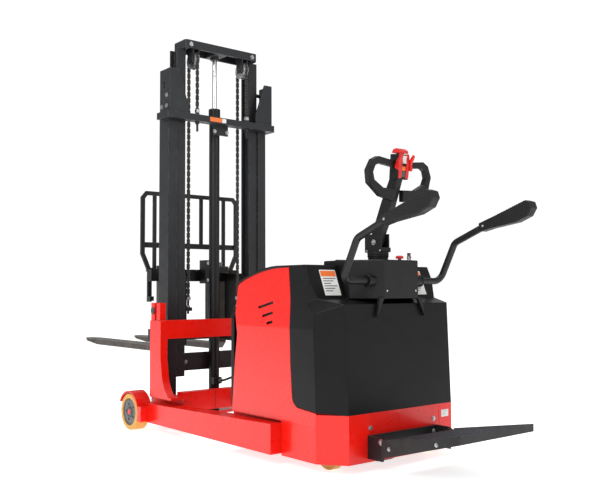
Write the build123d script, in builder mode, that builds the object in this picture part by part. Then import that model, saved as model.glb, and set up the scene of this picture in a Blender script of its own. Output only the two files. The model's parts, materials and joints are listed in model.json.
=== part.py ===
from build123d import *
import os
from math import cos, radians, sin, sqrt

# Stand-on electric reach stacker: a two-stage lift mast that slides between two straddle legs,
# a battery and drive body behind it, a folding platform, side arms and a tiller.
# Millimetres. +X is the truck's right, +Y is forward (towards the fork tips), +Z is up.
# The origin is on the floor, under the middle of the truck's length.

# ---- driving dimensions -------------------------------------------------------------------
forkLength = 1130.0        # blade, from the shank's front face to the tip
forkWidth = 110.0
forkThick = 38.0
forkHalfSpread = 197.0     # fork centre line from the truck's centre
forkTop = 468.0            # blade top in the raised rest pose
forkFaceFromRear = 1905.0  # shank front face ahead of the chassis rear face
platformReach = 542.0      # platform rear edge behind the chassis rear face
platformHalf = 245.0

bodyHalf = 432.0
bodyRearHalf = bodyHalf - 91       # half width of the flat rear face, inside the corner chamfers
chamferDepth = 118.0
bodyLength = 782.0
bodyTop = 934.0
coverWall = 5.0
panelGap = 2.0
skirtBottom = 45.0
skirtTop = 262.0
skirtSideTop = 205.0
skirtWall = 8.0
ledgeZ = 752.0
rearDraft = 20.0

legOuter = bodyHalf + 63
legInner = bodyHalf - 32
legBottom = 55.0
legTopRear = 197.0
legTopFront = 163.0
legRear = 371.0            # rear end of the leg, ahead of the chassis rear face
legFront = 1576.0
legWeb = 14.0
channelLow = 73.0          # the roller channel inside the leg
channelHigh = 153.0

wheelRadius = 105.0
wheelWidth = 80.0
wheelX = bodyHalf + 73
wheelAhead = 1692.0
axleRadius = 15.0
runningFit = 0.05

driveRadius = 125.0
driveWidth = 76.0
driveAhead = 156.0         # steering axis, ahead of the chassis rear face
casterRadius = 75.0
casterWidth = 46.0
casterX = 310.0
casterAhead = 190.0
casterTrail = 30.0

mastHalf = 361.0           # outer face of the outer mast channels
mastDepth = 110.0
mastAhead = 1567.0         # rear flange plane of the outer mast
mastBottom = 95.0
mastTop = 1888.0
outerFlange = 60.0
outerWall = 12.0
stageGap = 3.0             # sideways gap between the two mast stages
innerDepth = 90.0
innerWeb = 10.0
innerBottom = 300.0
innerTop = mastTop + 408
topBeamHeight = 50.0
topBeamHalf = mastHalf - 93
crossbarHalf = mastHalf + 40
crossbarDepth = 61.0
crossbarLow = mastTop - 40
bracketTop = mastTop + 262

cylinderRadius = 33.0
rodRadius = 14.5
cylinderTop = mastTop + 73
sheaveX = mastHalf - 178
sheavePitch = 50.0
sheaveZ = innerTop - 60
sheaveWidth = 28.0
chainWidth = 20.0
chainThick = 14.0

reachStroke = 480.0
uprightInner = bodyHalf + 18
beamRear = 1410.0
beamDepth = 62.0
beamLow = 540.0
beamHigh = 645.0
lowBeamRear = 1350.0
rollerRadius = 39.7
rollerWidth = 34.0
frontRollerAhead = 1510.0

consoleHalf = 112.0
consoleTop = 957.0
consoleWing = bodyHalf / 2 - 1
armX = 328.0
armTube = 16.5
armPivotAhead = 50.0
armPivotZ = 858.0
tillerPivotZ = 1046.0
tillerLean = 6.0           # lean of the tiller's head towards the operator, degrees
headHalf = 212.0
thumbShaft = 4.0
rockerPin = 2.5
bolt = 7.0                 # radius of a rear bolt's head
boltShank = 4.0
boltX = 210.0
boltZ = 196.0
deckTop = 198.0            # battery deck
batteryHalf = bodyHalf - 87
batteryTop = 700.0
saddleHalf = 200.0
saddleTop = 516.0
bearingRadius = 90.0
motorRadius = 80.0
motorHeight = 190.0
driveAxle = 20.0
casterPlate = 190.0
stemRadius = 14.0
reachZ = 150.0
reachTube = 30.0
reachRodRadius = 17.0
reachReach = 830.0         # front end of the reach cylinder, ahead of the chassis rear face
panelFoot = 147.0          # foot of the slanting rear panel, ahead of the chassis rear face
frontCoverTop = 706.0
lidStart = 212.0           # rear edge of the lid, ahead of the chassis rear face
handleHalf = 95.0
consoleLength = 310.0
postRadius = 38.0
stopX = 52.0
stopAhead = 62.0
stopStem = 8.0
keyX = 88.0
keyAhead = 34.0
keyStem = 9.0

rodFoot = 460.0            # lower end of the lift rod in the raised rest pose
rearAnchorTop = mastTop + 20
frontAnchorTop = 762.0
barLow = 500.0             # lower fork bar, underside
barHigh = 950.0            # upper fork bar, top
backrestHalf = mastHalf + 6
backrestTop = 1446.0

bracketHalf = 229.0        # outer face of the platform's hinge bracket
hingeBehind = 86.0         # platform hinge, behind the chassis rear face
hingeZ = 146.0
hingePin = 8.0
platformRise = 76.0        # rise of the platform from hinge to rear edge in the rest pose
matThick = 8.0

# ---- places worked out from them ----------------------------------------------------------
rear = -(forkFaceFromRear + forkLength - platformReach) / 2
mastY = rear + mastAhead
mastMid = mastY + mastDepth / 2
wheelY = rear + wheelAhead
driveY = rear + driveAhead
casterY = rear + casterAhead
forkFace = rear + forkFaceFromRear
shankRear = forkFace - forkThick
outerIn = mastHalf - outerFlange          # inner edge of the outer mast's flanges
innerOut = outerIn - stageGap             # outer edge of the inner mast's flanges
innerIn = innerOut - outerFlange
webMid = (innerOut + innerIn) / 2
frontY = rear + bodyLength
sheaveY = mastMid - 42
armY = rear + armPivotAhead
reachFront = rear + reachReach
rollerRows = (rear + lowBeamRear + 10, rear + frontRollerAhead)
rollerZ = (channelLow + channelHigh) / 2
carriageRollerZ = (540.0, 850.0)
footRoller = mastDepth / 2 - 14.3        # rollers run 0.3 clear of the channel flanges
stageRoller = innerDepth / 2 - 12.3

os.makedirs("parts", exist_ok=True)


def block(x0, x1, y0, y1, z0, z1, mode=Mode.ADD):
    """A box between two corners, in the active part."""
    with Locations(((x0 + x1) / 2, (y0 + y1) / 2, (z0 + z1) / 2)):
        Box(x1 - x0, y1 - y0, z1 - z0, mode=mode)


def rod(x, y, z, radius, length, turn=(0, 0, 0), mode=Mode.ADD):
    """A cylinder centred on a point; turn (0, 90, 0) lays it along X, (90, 0, 0) along Y."""
    with Locations(Location((x, y, z), turn)):
        Cylinder(radius, length, mode=mode)


def plate(points, x0, x1, mode=Mode.ADD):
    """A plate cut to an outline of (y, z) points, between two X planes."""
    with BuildSketch(Plane.YZ.offset(x0)) as outline:
        with BuildLine():
            Polyline(*points, close=True)
        make_face()
    extrude(outline.sketch, amount=x1 - x0, mode=mode)


def planPlate(points, z0, z1, mode=Mode.ADD):
    """A plate cut to an outline of (x, y) points, between two Z planes."""
    with BuildSketch(Plane.XY.offset(z0)) as outline:
        with BuildLine():
            Polyline(*points, close=True)
        make_face()
    extrude(outline.sketch, amount=z1 - z0, mode=mode)


def save(piece, name):
    """Label a finished piece and write it to its own STEP file."""
    piece.label = name
    export_step(piece, f"parts/{name}.step")
    print(name, round(piece.volume / 1000.0), "cm3")


alongX = (0, 90, 0)
alongY = (90, 0, 0)

# ---- chassis ------------------------------------------------------------------------------


def skirtOutline(inset):
    """Plan of the red skirt, open at the front: rear face, corner chamfers and sides."""
    side = bodyHalf - inset
    half = bodyRearHalf - inset * 0.42
    corner = rear + chamferDepth + inset * 0.42
    back = rear + inset
    end = rear + legRear - 1
    return [(-side, end), (-side, corner), (-half, back), (half, back), (side, corner), (side, end)]


with BuildPart() as chassis:
    planPlate(skirtOutline(0), skirtBottom, skirtTop)
    planPlate(skirtOutline(skirtWall), skirtBottom, skirtTop, mode=Mode.SUBTRACT)
    # the sides stop lower than the rear, under the side panels
    for side in (-1, 1):
        x0, x1 = sorted((side * (bodyHalf - skirtWall - 2), side * (bodyHalf + 2)))
        block(x0, x1, rear + chamferDepth, rear + legRear + 5, skirtSideTop, skirtTop + 5,
              mode=Mode.SUBTRACT)
    # longitudinal plates that carry the legs
    for side in (-1, 1):
        x0, x1 = sorted((side * (legInner - 12), side * legInner))
        block(x0, x1, rear + 302, frontY + 31.5, skirtBottom + 10, 240)
        x0, x1 = sorted((side * (legInner - 2), side * (bodyHalf - 2)))
        block(x0, x1, rear + 302, rear + 316, skirtBottom + 10, skirtSideTop - 1)
    # bulkheads behind and ahead of the battery, and the deck between them
    for y in (rear + 318, frontY + 19.5):
        block(-legInner + 12, legInner - 12, y, y + 12, skirtBottom + 10, 500)
    block(-legInner + 12, legInner - 12, rear + 328, frontY + 21, deckTop - 10, deckTop)
    # drive saddle: a thick plate on two cheeks, bored for the steering bearing
    block(-saddleHalf, saddleHalf, rear + 30, rear + 320, saddleTop - 16, saddleTop)
    block(-saddleHalf, saddleHalf, rear + 6, rear + 30, 196, 210)
    for side in (-1, 1):
        x0, x1 = sorted((side * (saddleHalf - 10), side * saddleHalf))
        block(x0, x1, rear + 30, rear + 320, casterPlate - 12, saddleTop - 16)
        # caster top plates, from the cheek out to the skirt
        x0, x1 = sorted((side * (saddleHalf - 10), side * (bodyHalf - skirtWall + 2)))
        block(x0, x1, rear + 132, rear + 262, casterPlate - 12, casterPlate)
        rod(side * casterX, casterY, casterPlate, stemRadius + runningFit, 60, mode=Mode.SUBTRACT)
    rod(0, driveY, saddleTop, bearingRadius + runningFit, 60, mode=Mode.SUBTRACT)
    # way through for the reach cylinder
    rod(0, frontY + 25, reachZ, reachTube + 0.5, 40, turn=alongY, mode=Mode.SUBTRACT)
    rod(0, rear + 324, reachZ, reachTube + 0.5, 40, turn=alongY, mode=Mode.SUBTRACT)
    # tapped holes of the rear bolts
    for x in (-boltX, boltX):
        rod(x, rear + 4, boltZ, boltShank + 0.05, 30, turn=alongY, mode=Mode.SUBTRACT)
save(chassis.part, "chassis_frame")

with BuildPart() as bolts:
    for x in (-boltX, boltX):
        rod(x, rear - 3, boltZ, bolt, 6, turn=alongY)
        rod(x, rear + 6, boltZ, boltShank, 14, turn=alongY)
save(bolts.part, "chassis_bolts")

# ---- legs and their wheels ----------------------------------------------------------------

fenderInner = wheelX - wheelWidth / 2 - 4
fenderOuter = wheelX + wheelWidth / 2 + 5
for side, word in ((-1, "left"), (1, "right")):
    with BuildPart() as leg:
        x0, x1 = sorted((side * legInner, side * legOuter))
        plate([(rear + legRear, legBottom), (rear + legFront, legBottom),
               (rear + legFront, legTopFront), (rear + legRear, legTopRear)], x0, x1)
        # roller channel, open towards the middle of the truck
        x0, x1 = sorted((side * (legInner - 5), side * (legOuter - legWeb)))
        block(x0, x1, rear + legRear + 14, rear + legFront + 40, channelLow, channelHigh,
              mode=Mode.SUBTRACT)
        # nose plate that holds the wheel's axle
        x0, x1 = sorted((side * (fenderInner - 18), side * fenderInner))
        plate([(rear + legFront - 1, legBottom), (wheelY + 30, legBottom), (wheelY + 62, 80),
               (wheelY + 62, 130), (wheelY + 34, legTopFront), (rear + legFront - 1, legTopFront)],
              x0, x1)
        # mudguard over the wheel, joined to the leg's side by a box
        x0, x1 = sorted((side * (fenderInner - 2), side * fenderOuter))
        with BuildSketch(Plane.YZ.offset(x0)) as guard:
            with Locations((wheelY, wheelRadius)):
                Circle(wheelRadius + 17)
                Circle(wheelRadius + 9, mode=Mode.SUBTRACT)
            with Locations((wheelY, wheelRadius - 150)):
                Rectangle(400, 220, mode=Mode.SUBTRACT)
            with Locations((wheelY + 150, wheelRadius - 50)):
                Rectangle(200, 200, mode=Mode.SUBTRACT)
        extrude(guard.sketch, amount=x1 - x0)
        x0, x1 = sorted((side * (legOuter - 4), side * fenderOuter))
        block(x0, x1, wheelY - wheelRadius - 48, wheelY - wheelRadius - 12, legBottom + 8, 150)
        # stub axle
        stub = wheelX + wheelWidth / 2 - fenderInner
        rod(side * (fenderInner + stub / 2), wheelY, wheelRadius, axleRadius, stub, turn=alongX)
    save(leg.part, f"{word}_leg")

    with BuildPart() as loadWheel:
        rod(side * wheelX, wheelY, wheelRadius, wheelRadius, wheelWidth, turn=alongX)
        fillet(loadWheel.edges().filter_by(GeomType.CIRCLE), 6)
        rod(side * (wheelX + wheelWidth / 2), wheelY, wheelRadius, wheelRadius - 27, 16, turn=alongX,
            mode=Mode.SUBTRACT)
        rod(side * wheelX, wheelY, wheelRadius, axleRadius + runningFit, 2 * wheelWidth, turn=alongX,
            mode=Mode.SUBTRACT)
    save(loadWheel.part, f"{word}_load_wheel")

# ---- drive unit, steered with the tiller's post -------------------------------------------

with BuildPart() as driveUnit:
    rod(0, driveY, saddleTop - 12, bearingRadius, 60)
    rod(0, driveY, saddleTop + 7.3, bearingRadius + 20, 14)
    block(-60, 98, driveY - 62, driveY + 62, 264, saddleTop - 30)
    block(44, 98, driveY - 58, driveY + 58, 62, 270)
    rod(0, driveY, saddleTop + 14 + motorHeight / 2, motorRadius, motorHeight)
    rod(5, driveY, driveRadius, driveAxle, 84, turn=alongX)
save(driveUnit.part, "drive_unit")

with BuildPart() as driveWheel:
    rod(0, driveY, driveRadius, driveRadius, driveWidth, turn=alongX)
    fillet(driveWheel.edges().filter_by(GeomType.CIRCLE), 5)
    for x in (-driveWidth / 2, driveWidth / 2):
        rod(x, driveY, driveRadius, driveRadius - 32, 20, turn=alongX, mode=Mode.SUBTRACT)
    rod(0, driveY, driveRadius, driveAxle + runningFit, 2 * driveWidth, turn=alongX,
        mode=Mode.SUBTRACT)
save(driveWheel.part, "drive_wheel")

for side, word in ((-1, "left"), (1, "right")):
    with BuildPart() as casterFork:
        wheelAt = casterY - casterTrail
        rod(side * casterX, casterY, casterPlate - 2, stemRadius, 32)
        block(side * casterX - 34, side * casterX + 34, casterY - 48, casterY + 24,
              casterPlate - 21, casterPlate - 12.3)
        for x in (-casterWidth / 2 - 10, casterWidth / 2 + 2):
            plate([(wheelAt - 18, casterRadius - 18), (wheelAt + 18, casterRadius - 18),
                   (casterY + 24, casterPlate - 14), (casterY - 48, casterPlate - 14)],
                  side * casterX + x, side * casterX + x + 8)
        rod(side * casterX, wheelAt, casterRadius, 8, casterWidth + 24, turn=alongX)
    save(casterFork.part, f"{word}_caster_fork")

    with BuildPart() as casterWheel:
        rod(side * casterX, wheelAt, casterRadius, casterRadius, casterWidth, turn=alongX)
        fillet(casterWheel.edges().filter_by(GeomType.CIRCLE), 5)
        rod(side * casterX, wheelAt, casterRadius, 8 + runningFit, 2 * casterWidth, turn=alongX,
            mode=Mode.SUBTRACT)
    save(casterWheel.part, f"{word}_caster_wheel")

# ---- inside the body ----------------------------------------------------------------------

with BuildPart() as battery:
    block(-batteryHalf, batteryHalf, rear + 342, frontY - 10, deckTop, batteryTop)
    for column in range(6):
        for row in range(4):
            x = -batteryHalf + 60 + column * (2 * batteryHalf - 120) / 5
            rod(x, rear + 395 + row * 100, batteryTop + 6, 14, 12)
    block(-60, 60, rear + 360, rear + 380, batteryTop - 1, batteryTop + 30)
save(battery.part, "battery")

with BuildPart() as pump:
    block(bearingRadius + 25, saddleHalf, rear + 45, rear + 300, saddleTop, saddleTop + 150)
    rod(bearingRadius + 61, rear + 110, saddleTop + 190, 34, 90)
save(pump.part, "hydraulic_unit")

with BuildPart() as controller:
    block(-saddleHalf, -bearingRadius - 25, rear + 60, rear + 290, saddleTop, saddleTop + 60)
    for fin in range(8):
        y = rear + 72 + fin * 28
        block(-saddleHalf + 4, -bearingRadius - 30, y, y + 8, saddleTop + 59, saddleTop + 84)
save(controller.part, "motor_controller")

with BuildPart() as reachCylinder:
    length = reachFront - (rear + 300)
    rod(0, rear + 300 + length / 2, reachZ, reachTube, length, turn=alongY)
    rod(0, rear + 310 + length / 2, reachZ, reachRodRadius + runningFit, length, turn=alongY,
        mode=Mode.SUBTRACT)
    rod(0, rear + 297.5 + length / 2, reachZ, reachTube - 6, length - 25, turn=alongY,
        mode=Mode.SUBTRACT)
save(reachCylinder.part, "reach_cylinder")

# ---- covers -------------------------------------------------------------------------------


def jointLine(ahead):
    """The joint between side panel and rear cover as (y, z) points, moved ahead by a gap."""
    y = rear + ahead
    z = skirtTop - ahead * 1.3
    return [(rear + chamferDepth, z + 8), (y + 284, z + 22), (y + 300, 493), (y + 308, 771),
            (y + 334, bodyTop + 30)]


def roundedRegion(points, corner, radius):
    """A face in the YZ plane from an outline, with its vertex nearest a given corner rounded."""
    with BuildSketch(Plane.YZ.offset(-bodyHalf - 50)) as region:
        with BuildLine():
            Polyline(*points, close=True)
        make_face()
        near = Vector(*corner, 0)
        fillet(region.vertices().sort_by_distance(near)[0], radius)
    return region.sketch


def bodySection(inset):
    """Cross-section of the body in X and Z: upright sides that lean in towards the top."""
    half = bodyHalf - inset
    return [(-half, 190), (-half, 640), (-half + 20, bodyTop - inset), (half - 20, bodyTop - inset),
            (half, 640), (half, 190)]


def sectionBlank(inset, y0, y1):
    """A solid of the body's cross-section between two Y planes."""
    with BuildPart() as blank:
        with BuildSketch(Plane.XZ.offset(-y0)) as section:
            with BuildLine():
                Polyline(*bodySection(inset), close=True)
            make_face()
        extrude(section.sketch, amount=-(y1 - y0))
    return blank.part


def rearPlan(inset, shift):
    """Plan of the rear cover at a height where the draft has moved the rear face by shift."""
    side = bodyHalf - inset
    half = bodyRearHalf - inset * 0.42
    corner = rear + chamferDepth + shift + inset * 0.42
    return [(-side, rear + 345), (-side, corner), (-half, rear + shift + inset),
            (half, rear + shift + inset), (side, corner), (side, rear + 345)]


def rearBlank(inset):
    """Solid of the rear cover's outer shape, drawn inwards by inset."""
    low = skirtTop + 0.3
    high = ledgeZ + 40
    shift = rearDraft * (high - low) / (ledgeZ - low)
    side = bodyHalf - inset
    foot = rear + panelFoot
    # upper part, with the slanting rear panel
    with BuildPart() as upper:
        planPlate([(-side, rear + 345), (-side, rear + 205), (-side + 41, foot), (side - 41, foot),
                   (side, rear + 205), (side, rear + 345)], ledgeZ - 60, bodyTop - inset)
        slant = Plane((0, foot + inset, ledgeZ + 24), z_dir=(0, -154, 62))
        split(bisect_by=slant, keep=Keep.BOTTOM)
    # lower part, tapering inwards a little; its shoulder slopes down to the rear and the corners
    with BuildPart() as blank:
        with BuildSketch(Plane.XY.offset(low)) as lowPlan:
            with BuildLine():
                Polyline(*rearPlan(inset, 0), close=True)
            make_face()
        with BuildSketch(Plane.XY.offset(high)) as highPlan:
            with BuildLine():
                Polyline(*rearPlan(inset, shift), close=True)
            make_face()
        loft([lowPlan.sketch, highPlan.sketch], ruled=True)
        back = Plane((0, rear + rearDraft, ledgeZ - inset), z_dir=(0, -24, panelFoot - rearDraft))
        split(bisect_by=back, keep=Keep.BOTTOM)
        for hand in (-1, 1):
            corner = Plane((hand * bodyHalf, rear + chamferDepth + 23, ledgeZ - 43 - inset),
                           z_dir=(hand * 8365, -4267, 5501))
            split(bisect_by=corner, keep=Keep.BOTTOM)
        add(upper.part)
        add(sectionBlank(inset, rear - 10, rear + 400), mode=Mode.INTERSECT)
    return blank.part


panelSpan = 2 * (bodyHalf + 50)

with BuildPart() as rearCover:
    add(rearBlank(0))
    add(rearBlank(coverWall), mode=Mode.SUBTRACT)
    block(-bodyHalf - 9, bodyHalf + 9, rear + 340, rear + 360, 0, bodyTop + 50, mode=Mode.SUBTRACT)
    outline = [(rear - 10, skirtTop - 10), (rear, skirtTop + 0.3)] + jointLine(0) + [(rear - 10, bodyTop + 30)]
    extrude(roundedRegion(outline, jointLine(0)[1], 52), amount=panelSpan, mode=Mode.INTERSECT)
    # room for the console and the lid
    block(-consoleWing - panelGap, consoleWing + panelGap, rear + panelFoot - 40, rear + 400,
          ledgeZ + 24, bodyTop + 50, mode=Mode.SUBTRACT)
    block(-bodyHalf, bodyHalf, rear + lidStart - panelGap, rear + 400, bodyTop - 6.5, bodyTop + 50,
          mode=Mode.SUBTRACT)
    rod(0, driveY, ledgeZ, postRadius + 8, 200, mode=Mode.SUBTRACT)
save(rearCover.part, "rear_cover")

topArc = [(rear + 400, bodyTop - 9), (rear + 580, bodyTop - 30), (frontY - 36, bodyTop - 92)]


def sideRegion():
    """Outline of a side panel in the YZ plane."""
    joint = jointLine(panelGap)
    with BuildSketch(Plane.YZ.offset(-bodyHalf - 50)) as region:
        with BuildLine():
            Polyline(topArc[0], (rear + 336, bodyTop - 9), joint[3], joint[2], joint[1], joint[0],
                     (rear + chamferDepth + 1, skirtSideTop + 0.3), (frontY - 1, skirtSideTop + 0.3),
                     (frontY - 28, 470), (frontY - 48, 600), (frontY - 26, 700), topArc[2])
            ThreePointArc(topArc[2], topArc[1], topArc[0])
        make_face()
        for corner, radius in ((joint[1], 54), ((frontY - 28, 470), 90), ((frontY - 48, 600), 60),
                               ((frontY - 26, 700), 60), (topArc[2], 34)):
            near = Vector(*corner, 0)
            fillet(region.vertices().sort_by_distance(near)[0], radius)
    return region.sketch


for side, word in ((-1, "left"), (1, "right")):
    with BuildPart() as panel:
        add(sectionBlank(0, rear + 100, frontY))
        add(sectionBlank(coverWall, rear + 90, frontY + 5), mode=Mode.SUBTRACT)
        extrude(sideRegion(), amount=panelSpan, mode=Mode.INTERSECT)
        x0, x1 = sorted((side * 350, side * (bodyHalf + 20)))
        block(x0, x1, rear, frontY + 50, 150, bodyTop + 20, mode=Mode.INTERSECT)
        # three slanting vents, lined up at their rear ends
        for row, (back, ahead, z) in enumerate(((440, 563, 745), (440, 525, 700), (440, 488, 661))):
            middle = rear + (back + ahead) / 2
            with Locations(Location((side * bodyHalf, middle, z), (-13, 0, 0))):
                Box(80, ahead - back, 13, mode=Mode.SUBTRACT)
    save(panel.part, f"{word}_side_panel")

with BuildPart() as frontCover:
    with BuildSketch(Plane.XZ.offset(-frontY - 2)) as face:
        with Locations((0, (frontCoverTop + skirtSideTop) / 2)):
            RectangleRounded(2 * bodyHalf - 30, frontCoverTop - skirtSideTop, 34)
    extrude(face.sketch, amount=-36)
    fillet(frontCover.faces().sort_by(Axis.Y)[-1].edges(), 14)
    inside = Plane.XZ.offset(-frontY + 4)
    with BuildSketch(inside) as hollow:
        with Locations((0, (frontCoverTop + skirtSideTop) / 2)):
            RectangleRounded(2 * bodyHalf - 42, frontCoverTop - skirtSideTop - 12, 30)
    extrude(hollow.sketch, amount=-36, mode=Mode.SUBTRACT)
    # lower cut-out for the chassis plates, and the way for the reach rod
    block(-legInner - 3, legInner + 3, frontY - 10, frontY + 32, 0, 242, mode=Mode.SUBTRACT)
    rod(0, frontY + 30, reachZ + 60, 60, 90, turn=alongY, mode=Mode.SUBTRACT)
save(frontCover.part, "front_cover")

with BuildPart() as topCover:
    with BuildSketch(Plane.YZ.offset(-bodyHalf + 21)) as lid:
        flat = rear + 400
        lip = frontY - 26
        with BuildLine():
            Polyline((flat, bodyTop - 6), (rear + lidStart, bodyTop - 6), (rear + lidStart, bodyTop),
                     (flat, bodyTop))
            ThreePointArc((flat, bodyTop), (rear + 586, bodyTop - 21), (lip, bodyTop - 84))
            Polyline((lip, bodyTop - 84), (lip, bodyTop - 150), (lip - 6, bodyTop - 150),
                     (lip - 6, bodyTop - 86))
            ThreePointArc((lip - 6, bodyTop - 86), (rear + 584, bodyTop - 27), (flat, bodyTop - 6))
        make_face()
    extrude(lid.sketch, amount=2 * bodyHalf - 42)
    block(-consoleWing - panelGap, consoleWing + panelGap, rear, rear + consoleLength + panelGap,
          bodyTop - 60, bodyTop + 20, mode=Mode.SUBTRACT)
save(topCover.part, "top_cover")

with BuildPart() as handle:
    ahead = rear + consoleLength + 55
    with BuildLine() as route:
        FilletPolyline((-handleHalf, ahead, bodyTop + 2), (-handleHalf, ahead, bodyTop + 26),
                       (handleHalf, ahead, bodyTop + 26), (handleHalf, ahead, bodyTop + 2), radius=12)
    with BuildSketch(Plane((-handleHalf, ahead, bodyTop + 2), z_dir=(0, 0, 1))) as grip:
        Circle(8)
    sweep(grip.sketch, path=route.line)
    for x in (-handleHalf, handleHalf):
        rod(x, ahead, bodyTop + 1.5, 14, 3)
save(handle.part, "grab_handle")

consolePlan = [(-consoleHalf, rear), (consoleHalf, rear), (consoleWing, rear + 130),
               (consoleWing, rear + consoleLength), (-consoleWing, rear + consoleLength),
               (-consoleWing, rear + 130)]
innerPlan = [(-consoleHalf + 4, rear + 6), (consoleHalf - 4, rear + 6), (consoleWing - 6, rear + 132),
             (consoleWing - 6, rear + consoleLength - 6), (-consoleWing + 6, rear + consoleLength - 6),
             (-consoleWing + 6, rear + 132)]
with BuildPart() as console:
    planPlate(consolePlan, ledgeZ + 24.3, consoleTop)
    fillet(console.edges().group_by(Axis.Z)[-1], 7)
    planPlate(innerPlan, ledgeZ + 20, consoleTop - 6, mode=Mode.SUBTRACT)
    # collar opening for the tiller's post, and bosses that carry the side arms
    rod(0, driveY, consoleTop, postRadius + 3, 60, mode=Mode.SUBTRACT)
    for side in (-1, 1):
        rod(side * (consoleHalf + 32), armY, armPivotZ, armTube + 10, 66, turn=alongX)
        rod(side * (consoleHalf + 32), armY, armPivotZ, armTube + runningFit, 120, turn=alongX,
            mode=Mode.SUBTRACT)
        # pointed feet below the rear corners
        with BuildSketch(Plane.XZ.offset(-rear - 2)) as foot:
            with BuildLine():
                Polyline((side * consoleHalf, ledgeZ + 27), (side * (consoleHalf + 30), ledgeZ + 27),
                         (side * (consoleHalf + 48), ledgeZ - 62), close=True)
            make_face()
        extrude(foot.sketch, amount=-14)
    rod(stopX, rear + stopAhead, consoleTop, stopStem + runningFit, 40, mode=Mode.SUBTRACT)
    rod(keyX, rear + keyAhead, consoleTop, keyStem + runningFit, 40, mode=Mode.SUBTRACT)
save(console.part, "console")

with BuildPart() as stop:
    rod(stopX, rear + stopAhead, consoleTop - 2, stopStem, 28)
    rod(stopX, rear + stopAhead, consoleTop + 15, 19, 12)
    fillet(stop.edges().group_by(Axis.Z)[-1], 4)
save(stop.part, "emergency_stop")

with BuildPart() as key:
    rod(keyX, rear + keyAhead, consoleTop, keyStem, 24)
    rod(keyX, rear + keyAhead, consoleTop + 14, keyStem + 2, 6)
    block(keyX - 1.5, keyX + 1.5, rear + keyAhead - 11, rear + keyAhead + 11, consoleTop + 16,
          consoleTop + 36)
save(key.part, "key_switch")

# ---- reach carriage, which slides along the legs and carries the mast ---------------------

uprightFoot = legTopRear + 9
with BuildPart() as carriage:
    for side in (-1, 1):
        x0, x1 = sorted((side * uprightInner, side * legOuter))
        with BuildSketch(Plane.YZ.offset(x0)) as upright:
            with BuildLine():
                Polyline((rear + beamRear, beamHigh - 2), (rear + beamRear, 430), (rear + beamRear - 14, 350))
                ThreePointArc((rear + beamRear - 14, 350), (rear + beamRear - 44, 268),
                              (rear + beamRear - 118, uprightFoot))
                Polyline((rear + beamRear - 118, uprightFoot), (rear + beamRear + 124, uprightFoot),
                         (rear + beamRear + 124, beamHigh - 2), (rear + beamRear, beamHigh - 2))
            make_face()
        extrude(upright.sketch, amount=x1 - x0)
        # two lugs on top, with a slot between them
        for ahead in (14, 78):
            block(x0 + 4, x1 - 4, rear + beamRear + ahead, rear + beamRear + ahead + 40,
                  beamHigh - 10, beamHigh + 100)
        # foot plate over the leg, and the side plate that hangs inside it with the rollers
        x0, x1 = sorted((side * (legInner - 16), side * legOuter))
        block(x0, x1, rear + beamRear - 118, rear + beamRear + 124, uprightFoot, uprightFoot + 12)
        x0, x1 = sorted((side * (legInner - 16), side * (legInner - 4)))
        block(x0, x1, rear + lowBeamRear - 30, mastY + mastDepth + 20, 60, uprightFoot + 12)
        # packers between the side plate and the mast channel
        x0, x1 = sorted((side * mastHalf, side * (legInner - 10)))
        block(x0, x1, mastY + 8, mastY + mastDepth - 8, mastBottom + 10, uprightFoot - 10)
        # roller axles
        x0, x1 = sorted((side * (legInner - 10), side * (legInner + 3 + rollerWidth + 2)))
        for y in rollerRows:
            rod((x0 + x1) / 2, y, rollerZ, axleRadius, x1 - x0, turn=alongX)
        # packers between the upper beam and the mast
        x0, x1 = sorted((side * (mastHalf - 45), side * mastHalf))
        block(x0, x1, rear + beamRear + beamDepth - 2, mastY, beamLow + 15, beamHigh - 15)
    with BuildSketch(Plane.XY.offset(beamLow)) as beam:
        with Locations((0, rear + beamRear + beamDepth / 2)):
            Rectangle(2 * legOuter, beamDepth)
        fillet(beam.vertices().group_by(Axis.Y)[0], 34)
    extrude(beam.sketch, amount=beamHigh - beamLow)
    block(-legInner + 10, legInner - 10, rear + lowBeamRear, rear + lowBeamRear + 52, 126, 237)
    block(-legInner + 10, legInner - 10, mastMid - 50, mastMid + 55, 56, 72)
    # lugs of the reach rod, with the pin between them
    for x in (-reachRodRadius - 14, reachRodRadius + 4):
        block(x, x + 10, rear + lowBeamRear - 38, rear + lowBeamRear + 2, reachZ - 20, reachZ + 20)
    rod(0, rear + lowBeamRear - 22, reachZ, 9, 2 * reachRodRadius + 20, turn=alongX)
save(carriage.part, "reach_carriage")

with BuildPart() as reachRod:
    back = rear + reachReach - 38
    ahead = rear + lowBeamRear - 4
    rod(0, (back + ahead) / 2, reachZ, reachRodRadius, ahead - back, turn=alongY)
    rod(0, back + 10, reachZ, reachTube - 6 - runningFit, 20, turn=alongY)
    rod(0, rear + lowBeamRear - 22, reachZ, 9 + runningFit, 80, turn=alongX, mode=Mode.SUBTRACT)
save(reachRod.part, "reach_rod")

for y, word in zip(rollerRows, ("rear", "front")):
    with BuildPart() as rollers:
        for side in (-1, 1):
            rod(side * (legInner + 3 + rollerWidth / 2), y, rollerZ, rollerRadius, rollerWidth, turn=alongX)
        rod(0, y, rollerZ, axleRadius + runningFit, 2 * legOuter, turn=alongX, mode=Mode.SUBTRACT)
    save(rollers.part, f"{word}_reach_rollers")

# ---- outer mast ---------------------------------------------------------------------------

with BuildPart() as outerRails:
    for side in (-1, 1):
        x0, x1 = sorted((side * outerIn, side * mastHalf))
        block(x0, x1, mastY, mastY + mastDepth, mastBottom, mastTop)
        x0, x1 = sorted((side * (outerIn - 1), side * (mastHalf - outerWall)))
        block(x0, x1, mastY + 14, mastY + mastDepth - 14, mastBottom - 5, mastTop + 5, mode=Mode.SUBTRACT)
save(outerRails.part, "outer_mast_rails")

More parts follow.
